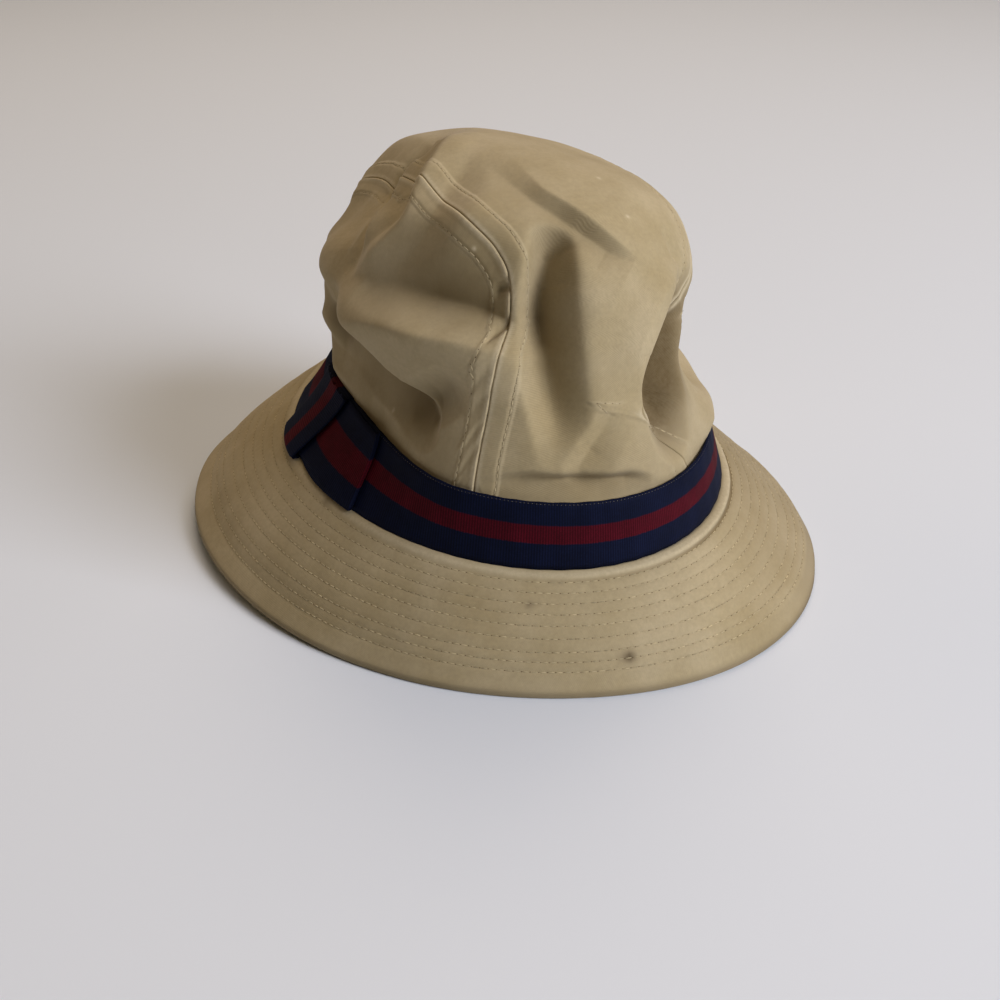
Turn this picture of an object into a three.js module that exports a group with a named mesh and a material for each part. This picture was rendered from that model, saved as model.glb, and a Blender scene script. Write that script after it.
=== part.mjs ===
// Soft cotton fedora: a three-piece crown with a centre dent and front pinches, a sloping brim,
// and a ribbon band with a flat bow. Millimetres, +Z up, -Y is the front, the bow is on the -X side.
// The middle of the outline's underside is the origin, so the brim's edge rests on Z = 0.
import * as THREE from "three";
import { mergeVertices } from "three/addons/utils/BufferGeometryUtils.js";

// Cloth and ribbon thicknesses, and the clearance kept between sewn pieces
const CROWN_CLOTH = 1.6;
const BRIM_CLOTH = 2.2;
const RIBBON = 1.0;
const BOW_THICK = 2.0;
const GAP = 0.3;

// Level lines of the smooth crown, from the brim seam to the middle of the top.
// lean is how far the bow side is pressed in at that level.
const LEVELS = [
  { name: "brim_seam", z: 39.6, halfX: 81.6, front: 106.7, back: 106.7, shiftX: 0.0, lean: 0 },
  { name: "band_top", z: 63.6, halfX: 74.3, front: 105.3, back: 98.0, shiftX: -1.9, lean: 15.5 },
  { name: "waist", z: 88.0, halfX: 67.5, front: 97.0, back: 92.5, shiftX: -2.0, lean: 9 },
  { name: "bulge", z: 112.0, halfX: 66.5, front: 92.0, back: 88.0, shiftX: -2.0, lean: 0 },
  { name: "shoulder", z: 134.0, halfX: 61.0, front: 81.0, back: 79.0, shiftX: -2.0, lean: 0 },
  { name: "tip_edge", z: 149.5, halfX: 46.0, front: 61.0, back: 61.0, shiftX: -2.0, lean: 0 },
  { name: "tip", z: 157.0, halfX: 24.0, front: 33.0, back: 33.0, shiftX: -2.0, lean: 0 },
  { name: "tip_middle", z: 159.0, halfX: 0.0, front: 0.0, back: 0.0, shiftX: -2.0, lean: 0 },
];
const LEAN_AT = THREE.MathUtils.degToRad(162);
const LEAN_SPAN = THREE.MathUtils.degToRad(66);
const LEAN_POWER = 3;
// The hat sits a little higher at the back: rise of the brim seam per millimetre across and along
const TILT = { x: -0.0063, y: 0.0367 };
const TILT_FADE = { from: 60, over: 60 };

// Folds in the cloth. A path runs over cloth places (across, along), 1 at the brim seam and 0 at the
// top. left and right are the flank widths beside the path, push the depth along it (in is minus),
// round the radius of the fold line.
const FOLDS = [
  { name: "top_dent", left: 5, right: 16, push: [-1, -4, -8, -9, -2], round: 1.2,
    path: [[-0.08, -0.04], [-0.06, -0.14], [0.0, -0.27], [0.07, -0.37], [0.14, -0.44]] },
  { name: "left_pinch", left: 12, right: 24, push: [-15, -14, -10, -2], round: 2,
    path: [[-0.125, -0.355], [-0.165, -0.46], [-0.2, -0.56], [-0.22, -0.7]] },
  { name: "right_pinch", left: 8, right: 22, push: [-3, -18, -20, -8], round: 2.5,
    path: [[0.42, -0.45], [0.37, -0.53], [0.31, -0.62], [0.34, -0.72]] },
  { name: "left_tuck", left: 16, right: 8, push: [-6, -6, -5, -6, -10, -8], round: 1.5,
    path: [[-0.69, 0.42], [-0.76, 0.2], [-0.745, -0.02], [-0.71, -0.16], [-0.66, -0.34], [-0.59, -0.46]] },
  { name: "left_bulge", left: 12, right: 9, push: [-2, 0, 2], round: 5,
    path: [[-0.6, 0.38], [-0.67, 0.1], [-0.61, -0.08]] },
  { name: "left_flat", left: 16, right: 14, push: [-6, -4], round: 6,
    path: [[-0.41, 0.3], [-0.47, 0.06]] },
  { name: "shelf", left: 9, right: 20, push: [3, 4, 2], round: 3,
    path: [[-0.58, -0.12], [-0.48, -0.32], [-0.37, -0.45]] },
  { name: "shoulder_facet", left: 32, right: 9, push: [-6, -8, -4], round: 2,
    path: [[-0.52, -0.12], [-0.42, -0.29], [-0.32, -0.4]] },
  { name: "band_crease", left: 9, right: 3, push: [-0.5, -4, -0.5], round: 0.8,
    path: [[-0.45, -0.715], [-0.26, -0.785], [0.09, -0.85]] },
  { name: "dimple", left: 5, right: 12, push: [-4, -1], round: 1,
    path: [[-0.17, -0.77], [-0.04, -0.7]] },
  { name: "left_slope", left: 24, right: 24, push: [-7, -7], round: 10,
    path: [[-0.26, 0.26], [-0.29, 0.02]] },
  { name: "right_waist", left: 20, right: 22, push: [-10, -6], round: 8,
    path: [[0.6, -0.33], [0.62, 0.1]] },
  { name: "right_shoulder", left: 18, right: 18, push: [4, 2], round: 8,
    path: [[0.38, -0.3], [0.4, -0.1]] },
  { name: "tip_back", left: 30, right: 30, push: [-4, -4], round: 12,
    path: [[0.2, 0.3], [0.22, -0.04]] },
  { name: "back_left", left: 14, right: 20, push: [-7, -2], round: 3,
    path: [[-0.3, 0.46], [-0.4, 0.64]] },
  { name: "back_right", left: 18, right: 12, push: [-8, -3], round: 3,
    path: [[0.28, 0.44], [0.34, 0.68]] },
];
const FOLD_STEPS = 6;
const FOOT_SOFTNESS = 0.12;
// Cloth radius next to the brim seam over which folds die out, and over which the wall turns level
const FOLD_FADE = 0.16;
const LEVEL_FOOT = 0.08;

// The two crown seams, as cloth places from the front brim seam over the top to the back
const SEAMS = [
  { at: "front_foot", left: [-0.656, -0.755], right: [0.438, -0.899] },
  { at: "front_low", left: [-0.531, -0.638], right: [0.36, -0.74] },
  { at: "front_middle", left: [-0.4, -0.55], right: [0.24, -0.63] },
  { at: "front_pinch", left: [-0.29, -0.47], right: [0.28, -0.53] },
  { at: "front_shoulder", left: [-0.215, -0.385], right: [0.335, -0.42] },
  { at: "front_kink", left: [-0.2, -0.315], right: [0.35, -0.32] },
  { at: "front_tip", left: [-0.217, -0.21], right: [0.355, -0.21] },
  { at: "middle", left: [-0.215, -0.05], right: [0.355, -0.05] },
  { at: "back_tip", left: [-0.21, 0.13], right: [0.35, 0.13] },
  { at: "back_shoulder", left: [-0.215, 0.3], right: [0.345, 0.3] },
  { at: "back_middle", left: [-0.29, 0.47], right: [0.36, 0.47] },
  { at: "back_low", left: [-0.45, 0.62], right: [0.42, 0.65] },
  { at: "back_foot", left: [-0.656, 0.755], right: [0.469, 0.883] },
];
// Half the seam clearance, as a share of the cloth's radius
const SEAM_GAP = 0.0016;
// From this cloth radius outwards the centre panel's rows bend to follow the brim seam
const PULL_FROM = 0.6;

// Brim: slope length with a slow swell round the hat, and the lifted stretch by the bow
const BRIM = {
  slope: 50.2,
  swell: 5.0,
  swellAt: THREE.MathUtils.degToRad(-27.5),
  backward: 1.3,
  backwardAt: THREE.MathUtils.degToRad(112),
  lift: 5.7,
  liftAt: THREE.MathUtils.degToRad(148),
  liftSpan: THREE.MathUtils.degToRad(74),
  liftPower: 2,
  restWidth: 2.4,
};
// Rise of the brim above a straight slope, at shares of the way out
const BRIM_ROWS = [
  { out: 0.0, rise: 0.0 },
  { out: 0.16, rise: 1.1 },
  { out: 0.42, rise: 2.0 },
  { out: 0.7, rise: 1.7 },
  { out: 0.9, rise: 0.8 },
  { out: 1.0, rise: 0.0 },
];

// Ribbon: height as a share of the first crown level, and the bow's place and size
const BAND_LEVELS = 1.05;
const BOW = {
  at: THREE.MathUtils.degToRad(171),
  halfLength: 48,
  low: 0.07,
  high: 0.93,
  spring: 1.4,
  flatShare: 0.35,
};
const KNOT = { halfLength: 13, low: 0.01, high: 0.99, wall: 1.0 };

// Facets
const PANEL_ROWS = 44;
const FRONT_ROWS = 26;
const CENTRE_COLUMNS = 12;
const LEFT_COLUMNS = 18;
const RIGHT_COLUMNS = 12;
// Folds are rounded to at least this radius, about what the facets can follow
const FACET_ROUND = 3.5;
const RING_STEPS = 80;
const BOW_STEPS = 16;
const KNOT_STEPS = 5;

const COTTON = 0xa89872;
const NAVY = 0x1b2240;
const MAROON = 0x5e1a28;

function smoothRow(rows, place, mirrorEnd) {
  const last = rows.length - 1;
  const index = Math.min(Math.max(Math.floor(place), 0), last - 1);
  const f = place - index;
  const b = rows[index];
  const c = rows[index + 1];
  const a = index > 0 ? rows[index - 1] : b.map((v, k) => 2 * v - c[k]);
  let d = rows[index + 2];
  if (index === last - 1) {
    d = mirrorEnd ? b.map((v, k) => v * mirrorEnd[k]) : c.map((v, k) => 2 * v - b[k]);
  }
  return b.map((v, k) => 0.5 * (2 * v + (c[k] - a[k]) * f
    + (2 * a[k] - 5 * v + 4 * c[k] - d[k]) * f * f + (3 * v - a[k] - 3 * c[k] + d[k]) * f * f * f));
}

const LEVEL_ROWS = LEVELS.map((row) => [row.z, row.halfX, row.front, row.back, row.shiftX, row.lean]);
const OVER_THE_TOP = [1, -1, -1, -1, 1, 1];

function turnFrom(angle, origin) {
  return Math.atan2(Math.sin(angle - origin), Math.cos(angle - origin));
}

// Rounded hump, 1 in the middle and flat at 0 from one span away; a higher power has a broader top
function hump(angle, origin, span, power) {
  const far = Math.abs(turnFrom(angle, origin)) / span;
  return Math.max(0, 1 - far ** power) ** 2;
}

// The crown before any fold, at a cloth place
function smoothCrown(across, along) {
  const radius = Math.max(Math.hypot(across, along), 1e-9);
  const level = Math.min(Math.max(1 - radius, 0), 1) * (LEVELS.length - 1);
  const [z, halfX, front, back, shiftX, lean] = smoothRow(LEVEL_ROWS, level, OVER_THE_TOP);
  const halfY = along < 0 ? front : back;
  const ca = across / radius;
  const sa = along / radius;
  const pressed = lean * hump(Math.atan2(along, across), LEAN_AT, LEAN_SPAN, LEAN_POWER);
  const normalLength = Math.max(Math.hypot(ca * halfY, sa * halfX), 1e-9);
  const x = shiftX + halfX * ca - (pressed * ca * halfY) / normalLength;
  const y = halfY * sa - (pressed * sa * halfX) / normalLength;
  const fade = Math.min(Math.max(1 - (z - TILT_FADE.from) / TILT_FADE.over, 0), 1);
  return new THREE.Vector3(x, y, z + (TILT.x * x + TILT.y * y) * fade);
}

// Steps across the cloth that a facing direction is worked out over, on the smooth and the folded crown
const FINE_STEP = 0.002;
const FOLDED_STEP = 0.016;

function facing(surface, across, along, step) {
  const du = surface(across + step, along).sub(surface(across - step, along));
  const dv = surface(across, along + step).sub(surface(across, along - step));
  return du.cross(dv).normalize();
}

// Each fold's path laid on the smooth crown as a line of points
const FOLD_LINES = FOLDS.map((fold) => {
  const count = (fold.path.length - 1) * FOLD_STEPS;
  const points = [];
  const normals = [];
  for (let i = 0; i <= count; i += 1) {
    const leg = Math.min(Math.floor(i / FOLD_STEPS), fold.path.length - 2);
    const f = i / FOLD_STEPS - leg;
    const across = THREE.MathUtils.lerp(fold.path[leg][0], fold.path[leg + 1][0], f);
    const along = THREE.MathUtils.lerp(fold.path[leg][1], fold.path[leg + 1][1], f);
    points.push(smoothCrown(across, along));
    normals.push(facing(smoothCrown, across, along, FINE_STEP));
  }
  return { points, normals };
});

function shareOf(values, share) {
  const place = share * (values.length - 1);
  const index = Math.min(Math.floor(place), values.length - 2);
  return THREE.MathUtils.lerp(values[index], values[index + 1], place - index);
}

function softFoot(q) {
  return (q + Math.sqrt(q * q + FOOT_SOFTNESS * FOOT_SOFTNESS)) / 2;
}

// How far one fold moves a point of the smooth crown
function foldPush(fold, line, point) {
  let nearest = Infinity;
  let side = 0;
  let share = 0;
  for (let i = 0; i < line.points.length - 1; i += 1) {
    const leg = line.points[i + 1].clone().sub(line.points[i]);
    const span = Math.max(leg.lengthSq(), 1e-9);
    const offset = point.clone().sub(line.points[i]);
    const f = Math.min(Math.max(offset.dot(leg) / span, 0), 1);
    offset.addScaledVector(leg, -f);
    const distance = offset.length();
    if (distance < nearest) {
      nearest = distance;
      const leftward = line.normals[i].clone().cross(leg.divideScalar(Math.sqrt(span)));
      side = offset.dot(leftward) / Math.max(distance, 1e-9);
      share = (i + f) / (line.points.length - 1);
    }
  }
  const flank = THREE.MathUtils.lerp(fold.right, fold.left, (side + 1) / 2);
  const round = Math.max(fold.round, FACET_ROUND);
  const reach = Math.hypot(nearest, round) - round;
  return (shareOf(fold.push, share) * softFoot(1 - reach / flank)) / softFoot(1);
}

// The crown's outside with all its folds
function crownOutside(across, along) {
  const point = smoothCrown(across, along);
  const normal = facing(smoothCrown, across, along, FINE_STEP);
  const room = Math.min(Math.max((1 - Math.hypot(across, along)) / FOLD_FADE, 0), 1);
  let push = 0;
  FOLDS.forEach((fold, k) => {
    push += foldPush(fold, FOLD_LINES[k], point);
  });
  return point.addScaledVector(normal, push * room * room * (3 - 2 * room));
}

// The inside lies level with the outside at the brim seam
function crownInside(across, along) {
  const radius = Math.hypot(across, along);
  const normal = facing(crownOutside, across, along, FOLDED_STEP);
  normal.z *= Math.min((1 - radius) / LEVEL_FOOT, 1);
  return crownOutside(across, along).addScaledVector(normal.normalize(), -CROWN_CLOTH);
}

const SEAM_ROWS = SEAMS.map((row) => [...row.left, ...row.right]);

function seamPlaces(share) {
  const [leftX, leftY, rightX, rightY] = smoothRow(SEAM_ROWS, share * (SEAMS.length - 1), null);
  return { left: new THREE.Vector2(leftX, leftY), right: new THREE.Vector2(rightX, rightY) };
}

// A cloth place on the centre panel: side runs from 0 at the left seam to 1 at the right seam
function centrePlace(share, side) {
  const { left, right } = seamPlaces(share);
  const inset = SEAM_GAP / left.distanceTo(right);
  const place = left.clone().lerp(right, THREE.MathUtils.lerp(inset, 1 - inset, side));
  const wanted = THREE.MathUtils.lerp(left.length(), right.length(), side);
  const pull = THREE.MathUtils.smoothstep(wanted, PULL_FROM, 1);
  return place.multiplyScalar(1 + pull * (wanted / Math.max(place.length(), 1e-9) - 1));
}

// A cloth place on a side panel: depth runs from 0 at the seam to 1 at the brim seam
function sidePlace(share, depth, isLeft) {
  const seam = isLeft ? seamPlaces(share).left : seamPlaces(share).right;
  const front = isLeft ? seamPlaces(0).left : seamPlaces(0).right;
  const back = isLeft ? seamPlaces(1).left : seamPlaces(1).right;
  const middle = isLeft ? Math.PI : 0;
  const fromFront = turnFrom(front.angle(), middle);
  const fromBack = turnFrom(back.angle(), middle);
  const angle = middle + THREE.MathUtils.lerp(fromFront, fromBack, share);
  const foot = new THREE.Vector2(Math.cos(angle), Math.sin(angle));
  const inset = SEAM_GAP / Math.max(seam.distanceTo(foot), SEAM_GAP * 4);
  return seam.clone().lerp(foot, THREE.MathUtils.lerp(inset, 1, depth));
}

// Welds the corners, drops empty facets and turns the faces out
function closedBody(name, points, facets, colour) {
  let geometry = new THREE.BufferGeometry();
  const places = points.flatMap((p) => [p.x, p.y, p.z]);
  geometry.setAttribute("position", new THREE.Float32BufferAttribute(places, 3));
  geometry.setIndex(facets.flat());
  geometry = mergeVertices(geometry, 1e-3);
  const index = Array.from(geometry.index.array);
  const kept = [];
  let volume = 0;
  const corner = [new THREE.Vector3(), new THREE.Vector3(), new THREE.Vector3()];
  for (let i = 0; i < index.length; i += 3) {
    const [a, b, c] = index.slice(i, i + 3);
    if (a !== b && b !== c && a !== c) {
      kept.push([a, b, c]);
      [a, b, c].forEach((v, k) => corner[k].fromBufferAttribute(geometry.attributes.position, v));
      volume += corner[0].dot(corner[1].clone().cross(corner[2]));
    }
  }
  geometry.setIndex(kept.flatMap(([a, b, c]) => (volume < 0 ? [a, c, b] : [a, b, c])));
  geometry.computeVertexNormals();
  const material = new THREE.MeshStandardMaterial({ color: colour, roughness: 0.9, metalness: 0 });
  const mesh = new THREE.Mesh(geometry, material);
  mesh.name = name;
  return mesh;
}

// A sheet of cloth with two faces and a thin wall all round its border
function sheet(name, rows, columns, outside, inside, colour) {
  const points = [];
  const facets = [];
  const faces = [outside, inside];
  faces.forEach((face) => {
    for (let i = 0; i <= rows; i += 1) {
      for (let j = 0; j <= columns; j += 1) {
        points.push(face(i / rows, j / columns));
      }
    }
  });
  const width = columns + 1;
  const back = (rows + 1) * width;
  const quad = (a, b, c, d) => facets.push([a, b, c], [a, c, d]);
  for (let i = 0; i < rows; i += 1) {
    for (let j = 0; j < columns; j += 1) {
      const a = i * width + j;
      quad(a, a + 1, a + width + 1, a + width);
      quad(back + a, back + a + width, back + a + width + 1, back + a + 1);
    }
  }
  for (let i = 0; i < rows; i += 1) {
    const near = i * width;
    const far = i * width + columns;
    quad(near, near + width, back + near + width, back + near);
    quad(far, back + far, back + far + width, far + width);
  }
  for (let j = 0; j < columns; j += 1) {
    const low = j;
    const high = rows * width + j;
    quad(low, back + low, back + low + 1, low + 1);
    quad(high, high + 1, back + high + 1, back + high);
  }
  return closedBody(name, points, facets, colour);
}

// A closed outline carried along a path; an open path has its ends capped
function sweep(name, steps, isRing, sectionAt, outline, colour) {
  const count = outline.length;
  const stations = isRing ? steps : steps + 1;
  const points = [];
  const facets = [];
  for (let i = 0; i < stations; i += 1) {
    points.push(...sectionAt(i / steps));
  }
  for (let i = 0; i < steps; i += 1) {
    const here = i * count;
    const next = ((i + 1) % stations) * count;
    for (let k = 0; k < count; k += 1) {
      const m = (k + 1) % count;
      facets.push([here + k, next + k, next + m], [here + k, next + m, here + m]);
    }
  }
  if (!isRing) {
    const flat = outline.map(([x, y]) => new THREE.Vector2(x, y));
    const end = steps * count;
    THREE.ShapeUtils.triangulateShape(flat, []).forEach(([a, b, c]) => {
      const isTurned = THREE.ShapeUtils.area([flat[a], flat[b], flat[c]]) * THREE.ShapeUtils.area(flat) < 0;
      const [p, q, r] = isTurned ? [a, c, b] : [a, b, c];
      facets.push([p, q, r], [end + p, end + r, end + q]);
    });
  }
  return closedBody(name, points, facets, colour);
}

// Foot of the crown at an angle, with the level direction that faces straight out
function foot(angle) {
  const { z, halfX, front: halfY } = LEVELS[0];
  const x = halfX * Math.cos(angle);
  const y = halfY * Math.sin(angle);
  const out = new THREE.Vector2(Math.cos(angle) / halfX, Math.sin(angle) / halfY).normalize();
  return { x, y, z: z + TILT.x * x + TILT.y * y, out };
}

// The ribbon and the bow keep a little more clearance, for the facets of the curved wall under them
const BAND_SEAT = GAP * 2.4;
const BAND_OUT = BAND_SEAT + RIBBON;

// Brim outline at an angle: the top from the crown to the edge, then the underside back
function brimSection(angle) {
  const { x, y, z, out } = foot(angle);
  const lift = BRIM.lift * hump(angle, BRIM.liftAt, BRIM.liftSpan, BRIM.liftPower);
  const swell = BRIM.swell * Math.cos(2 * (out.angle() - BRIM.swellAt));
  const slope = BRIM.slope + swell + BRIM.backward * Math.cos(out.angle() - BRIM.backwardAt);
  const drop = z - lift;
  const run = Math.sqrt(slope * slope - drop * drop);
  const at = (s, h) => new THREE.Vector3(x + out.x * s, y + out.y * s, h);
  const top = z - GAP;
  const edge = lift + BRIM_CLOTH;
  const tiltOut = drop / slope;
  const tiltUp = run / slope;
  const upper = BRIM_ROWS.map((row) => [
    BAND_OUT + run * row.out + row.rise * tiltOut,
    THREE.MathUtils.lerp(top, edge, row.out) + row.rise * tiltUp,
  ]);
  const lower = upper.slice(1, -1).map(([s, h]) => [s - BRIM_CLOTH * tiltOut, h - BRIM_CLOTH * tiltUp]);
  const inner = -CROWN_CLOTH;
  const rim = BAND_OUT + run;
  const profile = [
    [inner, top],
    ...upper,
    [rim, lift],
    [rim - BRIM.restWidth, lift],
    ...lower.reverse(),
    [inner, top - BRIM_CLOTH],
  ];
  return profile.map(([s, h]) => at(s, h));
}

// A point on the ribbon's seat: share of its height, and distance off the crown
function ribbonPoint(angle, share, out) {
  const radius = 1 - (share * BAND_LEVELS) / (LEVELS.length - 1);
  const across = radius * Math.cos(angle);
  const along = radius * Math.sin(angle);
  const normal = facing(smoothCrown, across * (1 - FINE_STEP), along * (1 - FINE_STEP), FINE_STEP);
  normal.z = 0;
  return smoothCrown(across, along).addScaledVector(normal.normalize(), out);
}

function bowAngle(distance) {
  const speed = Math.hypot(LEVELS[0].halfX * Math.sin(BOW.at), LEVELS[0].front * Math.cos(BOW.at));
  return BOW.at + distance / speed;
}

const turn = (share) => share * Math.PI * 2;
const MIDDLE_ROWS = [0.35, 0.7];
const BAND_ROWS = [0, ...MIDDLE_ROWS, 1];
const BAND_OUTLINE = [
  ...BAND_ROWS.map((h) => [h, BAND_OUT]),
  ...BAND_ROWS.toReversed().map((h) => [h, BAND_SEAT]),
];
const BOW_SEAT = BAND_OUT + GAP * 2;
const BOW_ROWS = [BOW.low, ...MIDDLE_ROWS, BOW.high];
const BOW_OUTLINE = [
  ...BOW_ROWS.map((h) => [h, BOW_SEAT + BOW_THICK]),
  ...BOW_ROWS.toReversed().map((h) => [h, BOW_SEAT]),
];
const KNOT_SEAT = BOW_SEAT + BOW_THICK + GAP;
const KNOT_EDGE = 0.05;
const KNOT_ROWS = [KNOT.low, ...MIDDLE_ROWS, KNOT.high];
const KNOT_INNER_ROWS = [KNOT.high - KNOT_EDGE, ...MIDDLE_ROWS.toReversed(), KNOT.low + KNOT_EDGE];
const KNOT_OUTLINE = [
  [KNOT.low, BOW_SEAT],
  ...KNOT_ROWS.map((h) => [h, KNOT_SEAT + KNOT.wall]),
  [KNOT.high, BOW_SEAT],
  [KNOT_INNER_ROWS[0], BOW_SEAT],
  ...KNOT_INNER_ROWS.map((h) => [h, KNOT_SEAT]),
  [KNOT_INNER_ROWS.at(-1), BOW_SEAT],
];

function bowSection(share) {
  const place = 2 * share - 1;
  const spring = BOW.spring * (Math.max(0, Math.abs(place) - BOW.flatShare) / (1 - BOW.flatShare)) ** 2;
  const angle = bowAngle(place * BOW.halfLength);
  return BOW_OUTLINE.map(([h, out]) => ribbonPoint(angle, h, out + spring));
}

function knotSection(share) {
  const angle = bowAngle((2 * share - 1) * KNOT.halfLength);
  return KNOT_OUTLINE.map(([h, out]) => ribbonPoint(angle, h, out));
}

// Rows lie closer over the creased front half than over the back
function rowShare(share) {
  const front = FRONT_ROWS / PANEL_ROWS;
  return share < front ? (0.5 * share) / front : 0.5 + (0.5 * (share - front)) / (1 - front);
}

function panel(name, columns, placeAt) {
  const outside = (share, side) => crownOutside(...placeAt(rowShare(share), side).toArray());
  const inside = (share, side) => crownInside(...placeAt(rowShare(share), side).toArray());
  return sheet(name, PANEL_ROWS, columns, outside, inside, COTTON);
}

const pieces = [
  panel("crown_centre_panel", CENTRE_COLUMNS, centrePlace),
  panel("crown_left_panel", LEFT_COLUMNS, (share, depth) => sidePlace(share, depth, true)),
  panel("crown_right_panel", RIGHT_COLUMNS, (share, depth) => sidePlace(share, depth, false)),
  sweep("brim", RING_STEPS, true, (share) => brimSection(turn(share)), brimSection(0), COTTON),
  sweep("hat_band", RING_STEPS, true,
    (share) => BAND_OUTLINE.map(([h, out]) => ribbonPoint(turn(share), h, out)), BAND_OUTLINE, NAVY),
  sweep("band_bow", BOW_STEPS, false, bowSection, BOW_OUTLINE, NAVY),
  sweep("bow_knot", KNOT_STEPS, false, knotSection, KNOT_OUTLINE, MAROON),
];

// Carry the whole hat so that the middle of its outline stands over the origin
const hat = new THREE.Group();
hat.name = "soft_fedora";
const box = new THREE.Box3();
pieces.forEach((mesh) => {
  mesh.geometry.computeBoundingBox();
  box.union(mesh.geometry.boundingBox);
});
const middle = box.getCenter(new THREE.Vector3());
pieces.forEach((mesh) => {
  mesh.geometry.translate(-middle.x, -middle.y, -box.min.z);
  hat.add(mesh);
});

export default hat;
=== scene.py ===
"""Dresses the soft cotton fedora: sewn twill panels, a stitched brim, and a striped ribbon with a bow.

The tables and the sizes of the classes are in millimetres, in the hat's own frame: +Z up, -Y the
front, the bow on the -X side. Meshes are in metres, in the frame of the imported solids.
"""

import logging
import math
from dataclasses import dataclass, field
from enum import Enum
from typing import Callable, Sequence

import bpy
import numpy as np
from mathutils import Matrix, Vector, noise


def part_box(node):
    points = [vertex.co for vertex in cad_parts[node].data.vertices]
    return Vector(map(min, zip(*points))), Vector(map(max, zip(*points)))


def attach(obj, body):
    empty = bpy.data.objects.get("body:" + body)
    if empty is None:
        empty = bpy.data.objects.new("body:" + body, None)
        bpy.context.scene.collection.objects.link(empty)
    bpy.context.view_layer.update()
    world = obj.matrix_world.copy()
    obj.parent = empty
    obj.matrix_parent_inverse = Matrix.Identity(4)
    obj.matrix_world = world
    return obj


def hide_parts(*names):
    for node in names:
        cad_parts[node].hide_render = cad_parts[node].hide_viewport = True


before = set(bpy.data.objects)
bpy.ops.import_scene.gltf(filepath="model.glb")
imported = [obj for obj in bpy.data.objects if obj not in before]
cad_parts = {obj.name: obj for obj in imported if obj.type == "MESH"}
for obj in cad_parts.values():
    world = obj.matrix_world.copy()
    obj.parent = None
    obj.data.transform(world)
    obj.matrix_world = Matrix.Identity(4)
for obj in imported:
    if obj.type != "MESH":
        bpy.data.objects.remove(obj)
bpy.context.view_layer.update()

LOG = logging.getLogger("fedora")
MM = 0.001
TURN = 2.0 * math.pi
TINY = 1e-9
TILT_X = -0.0063
TILT_Y = 0.0367
BAND_OUT = 1.72
BAND_LEVELS = 1.05
RIBBON_WIDTH = 26.0
RIB_PITCH = 1.05
CELLS_PER_RIB = 4
LINE_POINTS = 2400
# Height, rate and shift of each part of a wave that doesn't repeat
WAVE_PARTS = ((1.0, 1.0, 0.0), (0.7, 0.61, 1.3), (0.5, 1.47, 0.4))
Array = np.ndarray


# Small tools for numbers


def smooth_step(value: Array, low: float, high: float) -> Array:
    """Return 0 below low and 1 above high, with a smooth rise between them."""
    share = np.clip((value - low) / (high - low), 0.0, 1.0)
    return share * share * (3.0 - 2.0 * share)


def bump(value: Array, middle: float, width: float) -> Array:
    """Return a rounded bump of height 1 at middle that has died out at about twice its width."""
    return np.exp(-(((value - middle) / width) ** 2))


def unit(vectors: Array) -> Array:
    """Return the vectors at length 1."""
    return vectors / np.maximum(np.linalg.norm(vectors, axis=-1, keepdims=True), TINY)


def short_turn(angle: Array) -> Array:
    """Return angles as the shortest turns either way."""
    return np.angle(np.exp(1j * angle))


def heading(angle: Array) -> Array:
    """Return the level directions, across and along, at angles round the hat."""
    return np.stack([np.cos(angle), np.sin(angle)], -1)


def lengths_along(points: Array) -> Array:
    """Return the distance from the start of each line of points to each of its points."""
    total = np.cumsum(np.linalg.norm(np.diff(points, axis=-2), axis=-1), axis=-1)
    return np.concatenate([np.zeros_like(total[..., :1]), total], -1)


def irregular_wave(length: Array, pitch: float) -> Array:
    """Return a wave that never quite repeats, as puckers along a sewn line do."""
    turn = TURN * length / pitch
    whole = sum(part[0] for part in WAVE_PARTS)
    return sum(height * np.sin(rate * turn + shift) for height, rate, shift in WAVE_PARTS) / whole


def along_path(values: float | Sequence[float], share: Array) -> Array:
    """Return a size that is the same all along a path, or that changes between evenly spaced values."""
    sizes = np.atleast_1d(np.asarray(values, dtype=float))
    return np.interp(share, np.linspace(0.0, 1.0, len(sizes)), sizes)


def smooth_rows(table: Array, place: Array, over_end: Array | None = None) -> Array:
    """Interpolate the rows of a table smoothly.

    Args:
        table: One row of numbers for each whole place.
        place: Places along the table, counted in rows.
        over_end: Signs that carry the last but one row past the end, or None for a straight end.

    Returns:
        A row of numbers for each place.
    """
    last = len(table) - 1
    index = np.clip(np.floor(place).astype(int), 0, last - 1)
    share = (place - index)[..., None]
    here, after = table[index], table[index + 1]
    before = np.where((index == 0)[..., None], 2 * here - after, table[np.maximum(index - 1, 0)])
    past = 2 * after - here if over_end is None else here * over_end
    beyond = np.where((index == last - 1)[..., None], past, table[np.minimum(index + 2, last)])
    square = (2 * before - 5 * here + 4 * after - beyond) * share**2
    cube = (3 * here - before - 3 * after + beyond) * share**3
    return 0.5 * (2 * here + (after - before) * share + square + cube)


@dataclass(frozen=True)
class Arc:
    """A part of the way round the hat: middle and half span in degrees, broader for a higher power."""

    middle: float
    span: float
    power: float = 2.0

    def at(self, angle: Array) -> Array:
        """Return a hump over the arc: 1 in its middle, 0 from one span away."""
        far = np.abs(short_turn(angle - math.radians(self.middle))) / math.radians(self.span)
        return np.clip(1.0 - far**self.power, 0.0, 1.0) ** 2


@dataclass(frozen=True)
class Rumple:
    """Smooth unevenness of cloth: its height, the size of its lumps and where its noise starts."""

    height: float
    grain: float
    seed: float

    def at(self, points: Array) -> Array:
        """Return heights either way at points in millimetres."""
        shift = Vector((self.seed, -self.seed, 2.0 * self.seed))
        flat = points.reshape(-1, 3) / self.grain
        values = [noise.noise(Vector(point) + shift) for point in flat.tolist()]
        return self.height * np.array(values).reshape(points.shape[:-1])


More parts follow.
